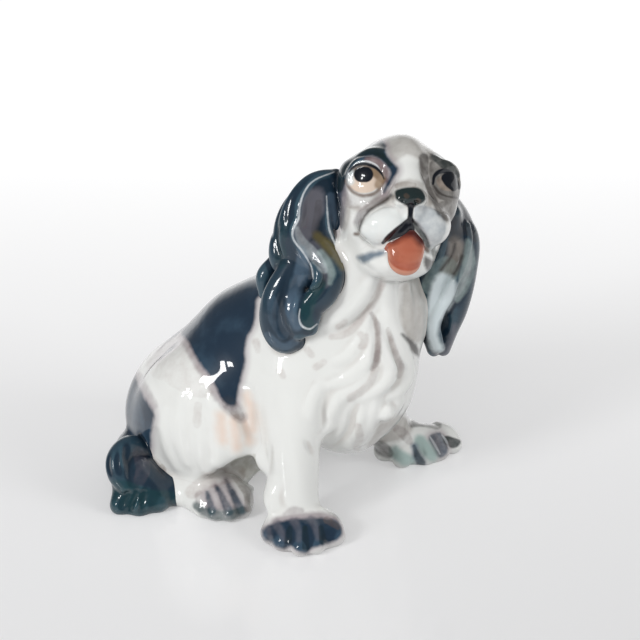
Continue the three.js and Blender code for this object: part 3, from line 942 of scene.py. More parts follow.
def fill(pigment, pieces, outline, thick=PAINT_REACH, both=False):
    """A patch filled in to an outline of pixels."""
    knots = curve_spans(np.vstack((outline[-1:], outline, outline[:2])), per_span=3)

    def reach(pixels):
        nearest = np.full(pixels.shape[1], np.inf)
        inside = np.zeros(pixels.shape[1], bool)
        for a, b in zip(knots, np.roll(knots, -1, 0)):
            run = b - a
            offset = pixels - a[:, None]
            along = np.clip(run @ offset / (run @ run), 0, 1)
            nearest = np.minimum(nearest, np.hypot(*(offset - run[:, None] * along)))
            spans = (a[1] > pixels[1]) != (b[1] > pixels[1])
            inside ^= spans & (offset[0] < run[0] * offset[1] / (run[1] or 1))
        return np.minimum(np.where(inside, nearest, -nearest) / PIXELS_PER_MM, thick)

    STROKES.append(Stroke(pigment, pieces, seen_from(reach, both)))


def daub(pigment, pieces, path, radii, thick=PAINT_REACH):
    """A brush drawn along points in mm, for sides that the photograph doesn't show."""
    knots = np.column_stack((np.asarray(path, float), np.broadcast_to(radii, len(path))))

    def reach(places, normals):
        best = knots[0, 3] - np.linalg.norm(places - knots[0, :3, None], axis=0)
        for x, y, z, radius in spans_of(knots, places):
            best = np.maximum(best, radius - np.sqrt(x * x + y * y + z * z))
        return np.minimum(best, thick)

    STROKES.append(Stroke(pigment, pieces, reach))


SADDLE = ((270, 262), (228, 266), (188, 292), (180, 329), (189, 343), (198, 361), (210, 376),
          (217, 390), (222, 400), (230, 406), (236, 404), (239, 387), (242, 377), (245, 362),
          (245, 348), (247, 338), (254, 324), (256, 308), (257, 299), (264, 291))
SADDLE_TIP = ((228, 402), (235, 410), (241, 417))
SADDLE_EDGE = ((182, 336), (191, 351), (200, 367), (210, 382), (218, 397))
RUMP = ((132, 366), (136, 378), (143, 395), (149, 405), (153, 411), (154, 419), (151, 433), (150, 450),
        (140, 458), (104, 452), (98, 420), (112, 380))
RUMP_BLUE = ((128, 384), (130, 400), (136, 416), (138, 436))
RUMP_BLOOM = ((138, 378), (145, 392), (152, 405))
THIGH_TOP_SHADE = ((150, 352), (182, 338), (196, 364), (212, 392), (192, 394), (166, 380), (152, 372))
THIGH_STREAKS = (((221, 417), (223, 440)), ((234, 420), (237, 446)), ((246, 422), (249, 440)))
ELBOW_BLUSH = ((246, 396), (251, 410), (252, 430))
THIGH_MARK = ((198, 406), (197, 424))
RUMP_DOT = ((162, 467), (164, 470))
BELLY_SHADE = ((232, 464), (243, 457), (257, 456), (262, 470), (253, 480), (240, 471))
CHEST_FOLD = ((383, 281), (378, 293), (372, 304), (366, 313), (356, 326), (346, 334), (332, 337))
CHEST_DEEP = ((371.5, 313.5), (377, 325), (378.5, 338), (378, 351), (376, 362), (372, 369))
CHEST_LOWER = ((376, 369), (371, 381), (362, 391), (350, 398))
CHEST_SECOND = ((388, 330), (393, 346), (398, 359), (401, 368), (399, 376))
CHEST_BLACK = ((402, 334), (409, 341), (414, 348), (418, 355))
CHEST_SHADE = ((404, 283), (412, 276), (424, 284), (426, 310), (424, 336), (416, 342), (406, 334),
               (402, 316), (403, 300))
LEG_ROOT_SHADE = ((378, 425), (388, 421), (402, 415), (407, 424), (396, 436), (386, 443), (374, 447),
            (368, 446), (374, 435))
CHEST_PINK = ((358, 427), (360, 437), (357, 447))
CHEST_SCRATCHES = (
    ((360, 334), (364, 340), (361, 347)),
    ((366, 336), (366, 341), (364, 346)),
    ((338, 327), (345, 322)),
)
CHEST_DOTS = (
    ((307, 350), (312, 355)),
    ((316, 367), (324, 362)),
    ((280, 371), (283, 376)),
    ((256, 342), (258, 350)),
)
EAR_SHADOW = ((326, 297), (321, 308), (318, 320))
COLLAR = ((327, 188), (342, 188), (341, 206), (338, 222), (334, 234), (328, 222))


def paint_body():
    """The saddle and the rump's patch with their soft edges, the touches of colour in the coat, and painted
    shade and shadow on the thigh, under the belly, under the chin and ears, and at the left foreleg's root.
    """
    torso = ("torso",)
    fill("black", torso, SADDLE, both=True)
    line("mauve", torso, SADDLE_EDGE, 3.5, 0.0, both=True)
    line("mauve", torso, SADDLE_TIP, (8, 7, 5), -0.1, both=True)
    line("sepia_and_shade", torso, SADDLE_TIP, (6, 5, 3), -0.2, both=True)
    fill("black", torso, RUMP, both=True)
    line("slate", torso, RUMP_BLUE, (3, 5, 6, 5), -0.6, both=True)
    line("mauve", torso, RUMP_BLOOM, 4, -0.2, both=True)
    # Painted shade on the top of the thigh
    fill("rose", torso, THIGH_TOP_SHADE, -0.85, both=True)
    for streak in THIGH_STREAKS:
        line("peach", BODY, streak, 5, both=True)
    line("peach", BODY, ELBOW_BLUSH, (4, 5, 5), both=True)
    line("rose", torso, THIGH_MARK, 2, -0.7, both=True)
    line("umber", torso, RUMP_DOT, 2, -0.1, both=True)
    # Painted shade in the gap under the belly
    fill("olive", torso, BELLY_SHADE, -0.3, both=True)
    line("rose", torso, CHEST_FOLD, (2, 2, 1.8, 1.8, 1.8, 1.6, 1.4), -0.4)
    line("wine", torso, CHEST_DEEP, (1.2, 2.2, 2.2, 2.6, 2.8, 1.2), 0.1)
    line("rose", torso, CHEST_LOWER, 2, -0.5)
    line("wine", torso, CHEST_SECOND, (1.6, 2, 2.2, 2.6, 1.6), -0.2)
    line("sepia_and_shade", torso, CHEST_BLACK, (1, 2.4, 3.8, 1.8))
    # Painted shade under the chin and the left ear
    fill("grey", BODY, CHEST_SHADE, 0.5)
    # Painted shade where the left foreleg comes out under the chest
    fill("grey", torso, LEG_ROOT_SHADE, 0.6)
    line("rose", torso, CHEST_PINK, 2, -0.5)
    for scratch in CHEST_SCRATCHES:
        line("rose", torso, scratch, 1.2, -0.4)
    for dot in CHEST_DOTS:
        line("rose", BODY, dot, (1.8, 1.2), -0.5)
    # Painted shadow of the right ear on the chest
    line("sepia_and_shade", torso, EAR_SHADOW, (2, 3, 2), -0.3)
    fill("black", ("torso", "head"), COLLAR)


FORE_DARK = ((262, 530), (264, 539), (270, 542), (276, 547), (284, 549), (291, 547), (297, 551),
             (306, 553), (312, 549), (320, 546), (329, 543), (337, 540), (342, 534), (341, 526),
             (334, 520), (323, 518), (311, 518), (296, 519), (282, 521), (272, 524))
FORE_TOP = ((276, 522), (290, 519), (306, 517.5), (322, 517), (334, 521))
FORE_STRIPES = (
    ((276, 524), (281, 532), (284, 540)),
    ((294, 521), (298, 530), (299, 540)),
    ((311, 519), (316, 528), (318, 538)),
    ((267, 530), (270, 537)),
)
FORE_BROWN = ((327, 520), (338, 527))
FORE_BLACK = (((290, 528), (288, 541)), ((305, 528), (306, 547)), ((321, 528), (323, 541)))
ANKLE = ((286, 515), (293, 511), (301, 511))
LEFT_LEG_SHADE = ((380, 418), (402, 416), (412, 428), (398, 440), (378, 440))
LEFT_SMUDGE = ((397, 429), (404, 434), (409, 441))
LEFT_OLIVE = ((377, 445), (383, 449), (388, 453))
LEFT_MINT = (((395, 452), (402, 458), (410, 461)), ((420, 441), (427, 450), (432, 457)))
LEFT_WEDGE = ((414, 446), (417, 455), (421, 463))
LEFT_DARK = ((429, 437), (440, 433), (447, 444), (446, 454), (438, 457), (433, 448))
LEFT_GLINTS = (((430, 437), (435, 445), (440, 454)), ((442, 435), (446, 441), (449, 448)))
LEFT_TIP = ((447, 440), (453, 443), (458, 442))
LEFT_BAND = ((412, 424), (424, 422), (437, 425))
HIND_STREAKS = (
    ((207, 492), (212, 511)),
    ((216, 486), (222, 497), (229, 512)),
    ((226, 480), (233, 494), (241, 510)),
)
HIND_SHADE = (((200, 496), (203, 508)), ((214, 490), (219, 504)), ((224, 486), (233, 502)))
HIND_TIPS = ((197, 506), (210, 514), (228, 516), (243, 510))
HIND_BROWN = ((234, 477), (244, 488), (249, 498), (248, 508))
HIND_TOP = ((192, 492), (206, 482), (224, 476), (238, 474))


def paint_paws():
    """Dark toes with paler stripes on the right, green and black on the left with painted glints on its
    toes, and streaks behind.
    """
    right, left = ("right_foreleg",), ("left_foreleg",)
    line("mauve", right, FORE_TOP, (3, 4, 4, 4, 4), 0.3)
    fill("black", right, FORE_DARK)
    for stripe in FORE_STRIPES:
        line("lilac", right, stripe, np.linspace(3, 1.2, len(stripe)), 0.1)
    line("umber", right, FORE_BROWN, (3, 2), -0.1)
    for toe in FORE_BLACK:
        line("pine", right, toe, (2.2, 3.4), 0.0)
    line("mauve", right, ANKLE, (2, 3, 2), -0.1)
    fill("grey", left, LEFT_LEG_SHADE, 0.5)
    line("wine", left, LEFT_SMUDGE, (3, 4, 3), -0.2)
    line("sepia_and_shade", left, LEFT_OLIVE, (5, 6.5, 5), 0.3)
    for toe in LEFT_MINT:
        line("mint", left, toe, (6, 7, 5.5))
    line("slate", left, LEFT_WEDGE, (3, 4, 5))
    line("pine", left, LEFT_WEDGE, (1, 2.6, 4), 0.0)
    fill("black", left, LEFT_DARK, 0.3)
    line("pine", left, LEFT_TIP, (4, 5, 2.6), 0.25)
    # Painted glints on the toes' ridges
    for glint in LEFT_GLINTS:
        line("rim", left, glint, (0.4, 1, 0.4), 0.0)
    line("sepia_and_shade", left, LEFT_BAND, (3, 4, 4), 0.1)
    line("rose", HINDQUARTERS, HIND_TOP, (5, 6, 6, 6), -0.45, both=True)
    for shade in HIND_SHADE:
        line("mauve", HINDQUARTERS, shade, (4, 5), -0.1, both=True)
    for streak in HIND_STREAKS:
        line("black", HINDQUARTERS, streak, np.linspace(1.4, 4.2, len(streak)), 0.4, both=True)
    line("teal", HINDQUARTERS, HIND_TIPS, (4, 5, 5, 4.4), 0.6, both=True)
    line("umber", HINDQUARTERS, HIND_BROWN, (2, 3.4, 4, 3.5), -0.05, both=True)


EYE_BALL = ((347.8, 180), (349.5, 186), (354, 190.5), (362, 193), (372, 191.5), (379, 186),
            (383, 179.5), (379, 172.5), (372, 167), (364, 165), (355, 168), (349.5, 174))
EYE_PUPIL = ((361.5, 174.5), (365.5, 174.5))
EYE_TAN = ((374, 172), (380, 178), (378, 185))
EYE_WHITE = ((351, 173.5), (350.5, 182))
EYE_LASH_AND_LID_SHADOW = ((349, 177), (353.5, 171), (361, 168.6), (370, 169.6), (377, 174), (381.5, 181))
EYE_LID_HIGHLIGHT = ((352.5, 167), (357, 163.2), (364, 161.6), (371, 162.8), (376.5, 166), (380, 170.5))
EYE_RIM = ((349, 172), (355.5, 165.5), (366, 164), (375.5, 167.5), (381.5, 173.5), (384, 179))
EYE_UNDER = ((346.5, 181), (349, 187.5), (354, 192.5), (363, 195.5), (374, 193.5), (381, 187),
             (384.5, 179))
BROW_MASS = ((337, 190), (337, 178), (341, 167), (348, 158), (357, 151.5), (370, 145), (381.8, 141),
             (386, 146), (386, 152), (389.5, 158.7), (397, 166), (398, 171), (394, 178), (388.5, 187),
             (384.5, 193), (383.5, 189), (388.5, 178.7), (390, 171.5), (385.5, 164.5), (379.5, 159),
             (372.5, 156.5), (366, 158.5), (366, 163.5), (358, 164.5), (352, 168.5), (347.5, 174.5),
             (346, 182), (344.5, 189), (341, 194))
BROW_DARK = ((337, 190), (337.5, 178), (341.5, 168), (348.5, 158.5), (358, 152), (371, 146),
             (381, 142.5), (385, 148), (384, 153), (388.5, 160), (393, 164.5), (388, 165.5),
             (380, 157.5), (372, 154.5), (364, 155.5), (356, 160.5), (350.5, 166.5), (346.5, 174),
             (344.5, 184), (341, 192))
CHEEK_SIDE = ((344, 184), (342, 199), (339.5, 214), (337, 228))
NOSE_WASH = ((394, 191), (399.5, 186), (410, 184), (420, 186), (427, 191))
LID_WASH = ((368, 160.5), (376, 162), (381.5, 166.5), (386, 174), (386, 181))
LEFT_BALL = ((436.5, 181), (439.5, 177), (446, 176), (452, 180), (456.5, 187), (453, 190.5),
             (445, 190.5), (439, 187))
LEFT_PUPIL = ((446, 178), (449.5, 182), (453.5, 187))
LEFT_SOCKET = ((430, 163), (437, 158), (446, 161), (458, 174), (462, 190), (457, 201), (445, 201),
               (435, 194), (430, 180))
LEFT_STRIPE = ((424, 158), (424.5, 172), (428, 186), (433, 198), (440, 212))
LEFT_LID = ((433, 184), (434.5, 176), (440, 171.5), (447.5, 172), (455, 179), (459, 188))
LEFT_BROW = ((433, 157), (440, 159.5), (448, 166), (456, 175))
LEFT_UNDER = ((434, 186), (439, 192.5), (446, 196), (457, 198))
LEFT_CHEEK = ((437, 205), (446, 200), (459, 199), (460, 211), (447, 221), (440, 213))
LEFT_FACE = ((420, 158), (436, 150), (460, 170), (464, 205), (447, 222), (434, 206), (426, 190))
FOREHEAD_GREY_AND_SHADE = ((384, 140), (402, 131), (436, 150), (424, 160), (416, 157), (407, 154), (399, 158),
            (393, 162), (388, 150))
NOSE_PAD = ((395.8, 190.4), (403, 187.5), (410.6, 187), (417, 187.5), (422.7, 190.4), (426.2, 198.2),
            (423.6, 202.5), (416, 206), (411.5, 208), (405, 205), (396.7, 200), (395, 194.7))
NOSTRILS = (((406, 195.5), (407, 196.5)), ((418, 200.5), (419, 201)))
NOSE_TOP = ((397, 186), (405, 184), (414, 185))
NOSE_SIDES = (((428, 194), (430, 203)), ((385, 200), (393, 197)))
LIP_SEAM = ((411, 205), (410.5, 214), (410, 221))
LIP_RIGHT = ((410, 221), (403, 226.5), (396.7, 230.7), (388, 237.6), (383, 242.8))
LIP_LEFT = ((411, 221), (415, 225.5), (420, 232), (425, 239), (428, 246))
MOUTH_DARK = ((410, 222), (397, 232), (387, 242), (398, 238), (410, 234), (415, 230))
LOBE_LINE = ((391, 195.5), (384, 201), (373, 207.5), (366, 214.5), (361, 223), (359, 231))
LOBE_SHADE = ((388, 194), (380, 200), (370, 205.5), (362, 213), (357, 222))
RIGHT_LOBE = ((401, 208), (388, 209), (374, 215), (364, 228), (366, 241), (382, 240), (398, 229),
              (406, 219))
LEFT_LOBE = ((416, 208), (430, 208), (443, 218), (444, 234), (434, 246), (428, 243), (422, 232),
             (416, 221))
LOBE_DOT = ((355, 234), (358, 234))
LOBE_FAINT = ((361, 236), (364, 239))
CHEEK_FOLD = ((342, 206), (350, 207.5), (358, 207))
CHEEK_BAND = ((386, 193), (378, 200), (369, 208))
CHEEK_BLUSH = ((342, 193), (352, 197), (366, 199), (379, 195), (372, 204), (358, 206), (343, 203))
JOWL = ((341, 192), (345, 208), (343, 226))
CHIN_STROKE = ((357.7, 255.8), (370.7, 252.4), (383.7, 250.6), (383.7, 255), (374.2, 258.4),
               (364.6, 263.2), (358.5, 260.2))
CHIN_SMUDGE = ((425.3, 256.7), (436.6, 263.6), (434, 269.7), (428.8, 273.2), (424.5, 265.4))
CHIN_TEAL = ((429, 250), (436, 254))
TONGUE_TOP_SHADE = ((392, 239), (403, 233), (414, 233), (422, 241))
MOUTH_CORNER = ((424, 247), (428, 251))


def paint_face():
    """Washes first, with painted shade on the forehead, then brows, eyes with the upper lid's painted shadow
    and painted highlight, nose, lips and the strokes on the chin, painted shade at the top of the tongue,
    and the back of the head.
    """
    head, mouth = ("head",), ("head", "lower_jaw")
    # Grey wash on the forehead, partly painted shade on the top of the head
    fill("grey", head, FOREHEAD_GREY_AND_SHADE, 0.35)
    fill("grey", head, LEFT_FACE, 0.6)
    line("grey", head, JOWL, (4, 5, 4), 0.2)
    line("grey", head, CHEEK_BAND, 3.5, 0.1)
    fill("mauve", head, CHEEK_BLUSH, -0.6)
    line("mauve", head, LID_WASH, (4, 4, 4, 3.5, 2.5), 0.4)
    line("wine", head, LID_WASH, (4, 3.6, 3, 2, 1), 0.3)
    line("grey", head, CHEEK_FOLD, 1.5)
    line("lilac", head, CHEEK_SIDE, (2.5, 3.6, 4.4, 4), 0.1)
    line("grey", head, NOSE_WASH, (3, 3.4, 3.4, 3.4, 3), 0.1)
    for side in NOSE_SIDES:
        line("grey", head, side, 3.5)
    fill("black", head, BROW_MASS)
    fill("pine", head, BROW_DARK, 0.25)
    line("sepia_and_shade", head, LEFT_STRIPE, (4.6, 3.8, 2.8, 2.8, 2.4), 0.3)
    fill("sepia_and_shade", head, LEFT_SOCKET, 0.2)
    line("sepia_and_shade", head, LEFT_BROW, (4, 6, 6, 4), 0.3)
    line("pine", head, LEFT_BROW, (2, 5, 5.5, 3.5), 0.2)
    line("navy", head, LEFT_LID, (1.2, 1.8, 2.4, 2.6, 2.2, 1.6))
    line("sepia_and_shade", head, LEFT_UNDER, (2, 2.2, 2, 2))
    fill("sepia_and_shade", head, LEFT_CHEEK, 0.2)
    fill("cream", head, EYE_BALL)
    line("pale", head, EYE_WHITE, 2.6, 0.3)
    line("tan", head, EYE_TAN, (4, 4.5, 3.6), 0.6)
    # Lashes, and the upper lid's painted shadow on the eyeball
    line("sepia_and_shade", head, EYE_LASH_AND_LID_SHADOW, (0.8, 2.4, 3.6, 3.8, 3.2, 1.8), 0.3)
    line("umber", head, EYE_LASH_AND_LID_SHADOW, (1.6, 3.6, 4.6, 4.6, 3.6, 2), -0.3)
    line("navy", head, EYE_RIM, (0.8, 1.4, 1.6, 1.6, 1.2, 0.6))
    line("umber", head, EYE_UNDER, 1.8, 0.5)
    # Painted highlight along the upper lid's edge
    line("rim", head, EYE_LID_HIGHLIGHT, (0.5, 1, 1.2, 1.2, 1, 0.5), 0.1)
    line("navy", head, EYE_PUPIL, 7.8)
    fill("cream", head, LEFT_BALL, 0.1)
    line("navy", head, LEFT_PUPIL, (4.8, 5.4, 4.2))
    fill("pine", head, NOSE_PAD)
    for spot in NOSTRILS:
        line("umber", head, spot, 1.6, -0.15)
    line("umber", head, NOSE_TOP, 1.8, -0.1)
    fill("pale", head, RIGHT_LOBE, -0.6)
    fill("slate", head, LEFT_LOBE, -0.05)
    line("navy", mouth, LIP_SEAM, (3.4, 2.6, 3.2))
    line("navy", mouth, LIP_RIGHT, (3.8, 3.6, 3.2, 2.6, 1.6))
    line("pine", mouth, LIP_LEFT, (3.2, 2.5, 2.4, 2.4, 2), 0.3)
    fill("navy", mouth, MOUTH_DARK)
    line("mauve", head, LOBE_SHADE, (2, 3, 3, 3, 2), 0.1)
    line("sepia_and_shade", head, LOBE_LINE, (2, 1.8, 1.7, 1.6, 1.4, 1.1))
    line("umber", head, LOBE_DOT, 1.8)
    line("umber", head, LOBE_FAINT, 1.4, -0.2)
    fill("slate", ("head", "lower_jaw", "torso"), CHIN_STROKE)
    fill("sepia_and_shade", ("head", "lower_jaw", "torso"), CHIN_SMUDGE)
    line("teal", mouth, CHIN_TEAL, 2.4, 0.2)
    line("umber", mouth, MOUTH_CORNER, 1.8)
    # Painted shade at the top of the tongue, under the lips
    line("sepia_and_shade", ("tongue",), TONGUE_TOP_SHADE, 3)
    for side in SIDES:
        temple = HEAD.path((-4, 20 * side, 8), (-12, 16 * side, 6), (-18, 8 * side, -2))
        daub("black", head, temple, (9, 12, 12))
    daub("black", head, HEAD.path((-22, 0, -2), (-18, 0, -16)), (12, 12))


FLAP_GREY = ((305, 197), (312, 189), (322, 189), (325, 205), (322, 215), (316, 226), (313, 236),
             (303, 247), (296, 240), (293.5, 231), (299, 219), (300.5, 206))
FLAP_LOWER = ((296, 241), (304, 247), (313, 240), (322, 248), (330, 260), (333, 272), (330, 284),
              (325, 286), (322, 272), (316, 262), (306, 255))
FLAP_HOLLOW_SHADE = ((319, 203), (317, 218), (315, 231), (320, 239))
FLAP_RIDGE = ((297, 229), (302, 242), (310, 251), (318, 260), (324, 270))
FLAP_OLIVE = ((317, 236), (325, 243), (333, 252), (340, 262), (343, 267))
FLAP_PALE = ((321, 253), (328, 263), (331.5, 274), (330, 283))
FRONT_SLATE = ((331, 196), (331.5, 212), (332, 226))
LOCK_VALLEY = ((302, 250), (303, 262), (300, 278), (294, 296), (291, 312), (297, 326))
LOCK_SHEEN = ((272, 300), (275, 318), (283, 334))
LOCK_FOOT = ((268, 335), (275, 343), (285, 347), (295, 342))
OUTER_TEAL = ((283, 225), (279, 243), (281, 262))
FRONT_TEAL = ((322, 284), (311, 298), (306, 316), (310, 326))
RUN_OFF_AND_HIGHLIGHT_EDGES = (
    ((334, 172), (314.7, 180), (304.8, 191), (299.8, 206), (298.5, 218.5), (293, 229.7), (293.6, 239.6),
     (303.5, 253), (311, 266), (313.5, 279)),
    ((326.5, 196), (327.5, 214), (329.5, 230), (336, 246), (342, 262)),
    ((300, 309), (299, 318), (302, 326), (310, 329), (317, 324)),
)
LEFT_OUTER_GREY = ((468, 240), (474, 256), (472, 278), (462, 296), (456, 300), (460, 280), (464, 258))
LEFT_OLIVE_BAND = ((450, 240), (458, 238), (464, 248), (458, 270), (446, 282), (440, 276), (448, 258))
LEFT_TOP = ((452, 208), (464, 200), (474, 212), (480, 232), (476, 242), (466, 234), (458, 240),
            (449, 240))
LEFT_SAGE = ((446, 258), (456, 264), (455, 278), (446, 290), (427, 292), (424, 282), (436, 264))
LEFT_PALE = ((436, 276), (452, 276), (456, 290), (450, 306), (440, 322), (438, 336), (443, 350),
             (432, 350), (427, 330), (428, 304))
LEFT_GREEN = ((426, 298), (424, 308), (425, 320), (428, 330))
LEFT_DARK_LINES = (((455, 244), (452, 255), (441, 270)), ((462, 256), (456, 270), (446, 284)))
LEFT_RIM = ((434, 352), (440, 356), (447, 352), (452, 340), (454, 326))


def paint_right_ear():
    """Grey, olive and blue on the leather, painted shade in its hollow, a painted sheen on the long lock,
    and a pale line along each edge, partly where the glaze runs off it and partly a painted highlight.
    """
    right = ("right_ear",)
    fill("lilac", right, FLAP_GREY)
    fill("lilac", right, FLAP_LOWER, 0.5)
    # Painted shade in the hollow of the leather
    line("sepia_and_shade", right, FLAP_HOLLOW_SHADE, 2.6, -0.3)
    line("pale", right, FLAP_RIDGE, (0.6, 3.2, 4.4, 4, 2), -0.4)
    line("olive", right, FLAP_OLIVE, (4, 5, 5, 4, 3))
    line("mint", right, FLAP_PALE, (2.6, 3, 2.6, 1), -0.1)
    line("slate", right, FRONT_SLATE, (3, 3.6, 2.4), 0.1)
    line("slate", right, LOCK_VALLEY, (4, 6, 7, 6, 5, 4), 0.4)
    line("slate", right, LOCK_FOOT, 2.6, 0.0)
    # Painted sheen on the long lock
    line("slate", right, LOCK_SHEEN, (3, 5, 4), -0.5)
    line("teal", right, OUTER_TEAL, 5, -0.3)
    line("teal", right, FRONT_TEAL, (4, 6, 6, 5), 0.5)
    # Pale lines along the edges, partly glaze running off and partly painted highlights
    for edge in RUN_OFF_AND_HIGHLIGHT_EDGES:
        swell = np.sin(np.linspace(0.1, np.pi - 0.1, len(edge)))
        line("rim", right, edge, 0.25 + 0.65 * swell, 0.1)


def paint_left_ear():
    """Black at the top, grey and sage bands down the lock, and a white tip."""
    left = ("left_ear",)
    fill("sepia_and_shade", left, LEFT_TOP, 0.0)
    fill("lilac", left, LEFT_OUTER_GREY)
    fill("mint", left, LEFT_OUTER_GREY, -0.1)
    fill("grey", left, LEFT_OLIVE_BAND)
    fill("mint", left, LEFT_SAGE, -0.35)
    fill("pale", left, LEFT_PALE)
    line("teal", left, LEFT_GREEN, (2, 3, 3, 2))
    for streak in LEFT_DARK_LINES:
        line("sepia_and_shade", left, streak, 1.5)
    line("lilac", left, LEFT_RIM, 2)


TAIL_CENTRE = ((138, 452), (143, 468), (139, 482))
TAIL_TUFT = ((108, 484), (128, 482), (150, 490), (178, 494), (160, 516), (104, 516))


def paint_tail():
    """A faint bloom in the middle of the curl, and a greener tuft."""
    tail = ("tail",)
    line("mauve", tail, TAIL_CENTRE, (3, 5, 3), -0.8)
    fill("teal", tail, TAIL_TUFT, 0.2)


def painted(piece, places, normals):
    """How deep in mm each vertex lies inside each pigment's strokes, less than zero outside them."""
    coats = {name: np.full(places.shape[1], -PAINT_REACH) for name in PIGMENTS}
    for stroke in STROKES:
        if piece in stroke.pieces:
            coats[stroke.pigment] = np.maximum(coats[stroke.pigment], stroke.reach(places, normals))
    return {name: np.clip(coat, -PAINT_REACH, PAINT_REACH) for name, coat in coats.items()}


# Finishes

def srgb(red, green, blue):
    """A colour written as it looks on a screen, from 0 to 255, as linear light."""
    part = np.array((red, green, blue)) / 255
    light = np.where(part <= 0.04045, part / 12.92, ((part + 0.055) / 1.055) ** 2.4)
    return (*light.tolist(), 1.0)


class Pigment(NamedTuple):
    colour: tuple
    opacity: float
    softness: float
    ragged: float


# In the order that they are laid on
PIGMENTS = {
    "peach": Pigment(srgb(236, 204, 182), 0.6, 3.0, 0.6),
    "grey": Pigment(srgb(150, 142, 134), 0.85, 1.8, 0.3),
    "mauve": Pigment(srgb(124, 108, 114), 0.85, 1.6, 0.3),
    "black": Pigment(srgb(26, 47, 66), 0.995, 1.0, 0.3),
    "lilac": Pigment(srgb(104, 103, 112), 0.85, 1.6, 0.4),
    "teal": Pigment(srgb(20, 62, 66), 0.85, 1.3, 0.3),
    "mint": Pigment(srgb(164, 186, 182), 0.92, 1.4, 0.3),
    "slate": Pigment(srgb(84, 106, 126), 0.87, 1.3, 0.3),
    "olive": Pigment(srgb(110, 100, 58), 0.8, 1.4, 0.4),
    "cream": Pigment(srgb(222, 203, 186), 1.0, 0.3, 0.0),
    "rose": Pigment(srgb(150, 124, 116), 0.8, 1.5, 0.3),
    "wine": Pigment(srgb(98, 72, 72), 0.85, 1.0, 0.25),
    # A dark brown for brushwork, also laid on as painted shade and painted shadow
    "sepia_and_shade": Pigment(srgb(54, 49, 47), 0.92, 0.9, 0.25),
    "pine": Pigment(srgb(15, 34, 36), 0.99, 0.6, 0.15),
    "umber": Pigment(srgb(100, 78, 64), 0.85, 0.7, 0.2),
    "pale": Pigment(srgb(220, 231, 234), 0.96, 1.4, 0.3),
    # Pale lines: painted highlights on the upper lid and the left toes, and on the right ear's edges partly
    # glaze running off them and partly painted highlights
    "rim": Pigment(srgb(232, 237, 240), 0.92, 0.36, 0.1),
    "tan": Pigment(srgb(146, 122, 96), 0.85, 0.9, 0.15),
    "navy": Pigment(srgb(12, 18, 28), 1.0, 0.35, 0.0),
}
WHITE_GLAZE = srgb(235, 236, 233)
BLACK_GLAZE = srgb(26, 46, 62)
BLOOM = srgb(150, 134, 142)
# A thinner blue: in clouds through the black, and on its ridges partly as a painted highlight
BLUE_THIN_AND_HIGHLIGHT = srgb(66, 92, 112)
# Tints in hollows are partly collecting glaze and partly painted shade; the black's tint on ridges is partly
# thin glaze and partly a painted highlight
WHITE_POOLED_AND_SHADE = srgb(196, 188, 182)
BLACK_POOLED_AND_SHADE = srgb(10, 20, 30)
BLACK_THIN_AND_HIGHLIGHT = srgb(64, 92, 106)


def group_tree(name, inputs, outputs):
    """An empty shader group with its sockets, and its two end nodes."""
    tree = bpy.data.node_groups.new(name, "ShaderNodeTree")
    for label, kind in inputs:
        tree.interface.new_socket(name=label, in_out="INPUT", socket_type=kind)
    for label, kind in outputs:
        tree.interface.new_socket(name=label, in_out="OUTPUT", socket_type=kind)
    return tree, tree.nodes.new("NodeGroupInput"), tree.nodes.new("NodeGroupOutput")


def feed(tree, socket, source):
    """Gives an input a value, or a link to the socket that it takes its value from."""
    if isinstance(source, bpy.types.NodeSocket):
        tree.links.new(source, socket)
    else:
        socket.default_value = source


def add(tree, kind, links=None, **settings):
    """A node with its settings. links gives its inputs a value, or a socket to take it from."""
    node = tree.nodes.new(kind)
    for name, value in settings.items():
        setattr(node, name, value)
    for name, source in (links or {}).items():
        feed(tree, node.inputs[name], source)
    return node


# The colour mixer's sockets by number, because its number and vector sockets have the same names
MIX_SHARE = 0
MIX_UNDER = 6
MIX_OVER = 7
MIX_COLOUR = 2


def mixed(tree, share, under, over):
    """The colour over laid on the colour under by a share."""
    links = {MIX_SHARE: share, MIX_UNDER: under, MIX_OVER: over}
    return add(tree, "ShaderNodeMix", links, data_type="RGBA").outputs[MIX_COLOUR]


def times(tree, a, b):
    """One value times another."""
    return add(tree, "ShaderNodeMath", {0: a, 1: b}, operation="MULTIPLY").outputs[0]


def ramp_of(tree, source, low, high):
    """A smooth rise from 0 to 1 between two values."""
    links = {"Value": source, "From Min": low, "From Max": high}
    return add(tree, "ShaderNodeMapRange", links, interpolation_type="SMOOTHSTEP").outputs["Result"]


def noise_of(tree, scale, detail):
    """Noise over the piece's own coordinates in metres, about 0.5."""
    place = add(tree, "ShaderNodeTexCoord").outputs["Object"]
    return add(tree, "ShaderNodeTexNoise", {"Vector": place, "Scale": scale, "Detail": detail}).outputs[0]


BRISTLE_SCALE = 260.0
BRISTLE_STRENGTH = 4.0


def brushed_on():
    """Group: turns a stroke's distance in mm into a soft ragged mask."""
    sockets = [(name, "NodeSocketFloat") for name in ("Distance", "Softness", "Ragged")]
    tree, start, end = group_tree("brushed_on", sockets, [("Mask", "NodeSocketFloat")])
    bristles = noise_of(tree, BRISTLE_SCALE, 2.0)
    centred = add(tree, "ShaderNodeMath", {0: bristles, 1: 0.5}, operation="SUBTRACT").outputs[0]
    shaky = times(tree, centred, BRISTLE_STRENGTH)
    links = {0: shaky, 1: start.outputs["Ragged"], 2: start.outputs["Distance"]}
    shifted = add(tree, "ShaderNodeMath", links, operation="MULTIPLY_ADD").outputs[0]
    low = times(tree, start.outputs["Softness"], -1.0)
    mask = ramp_of(tree, shifted, low, start.outputs["Softness"])
    tree.links.new(mask, end.inputs["Mask"])
    return tree


GLAZE_COLOURS = [(name, "NodeSocketColor") for name in ("Ground", "PooledAndShade", "ThinAndHighlight")]
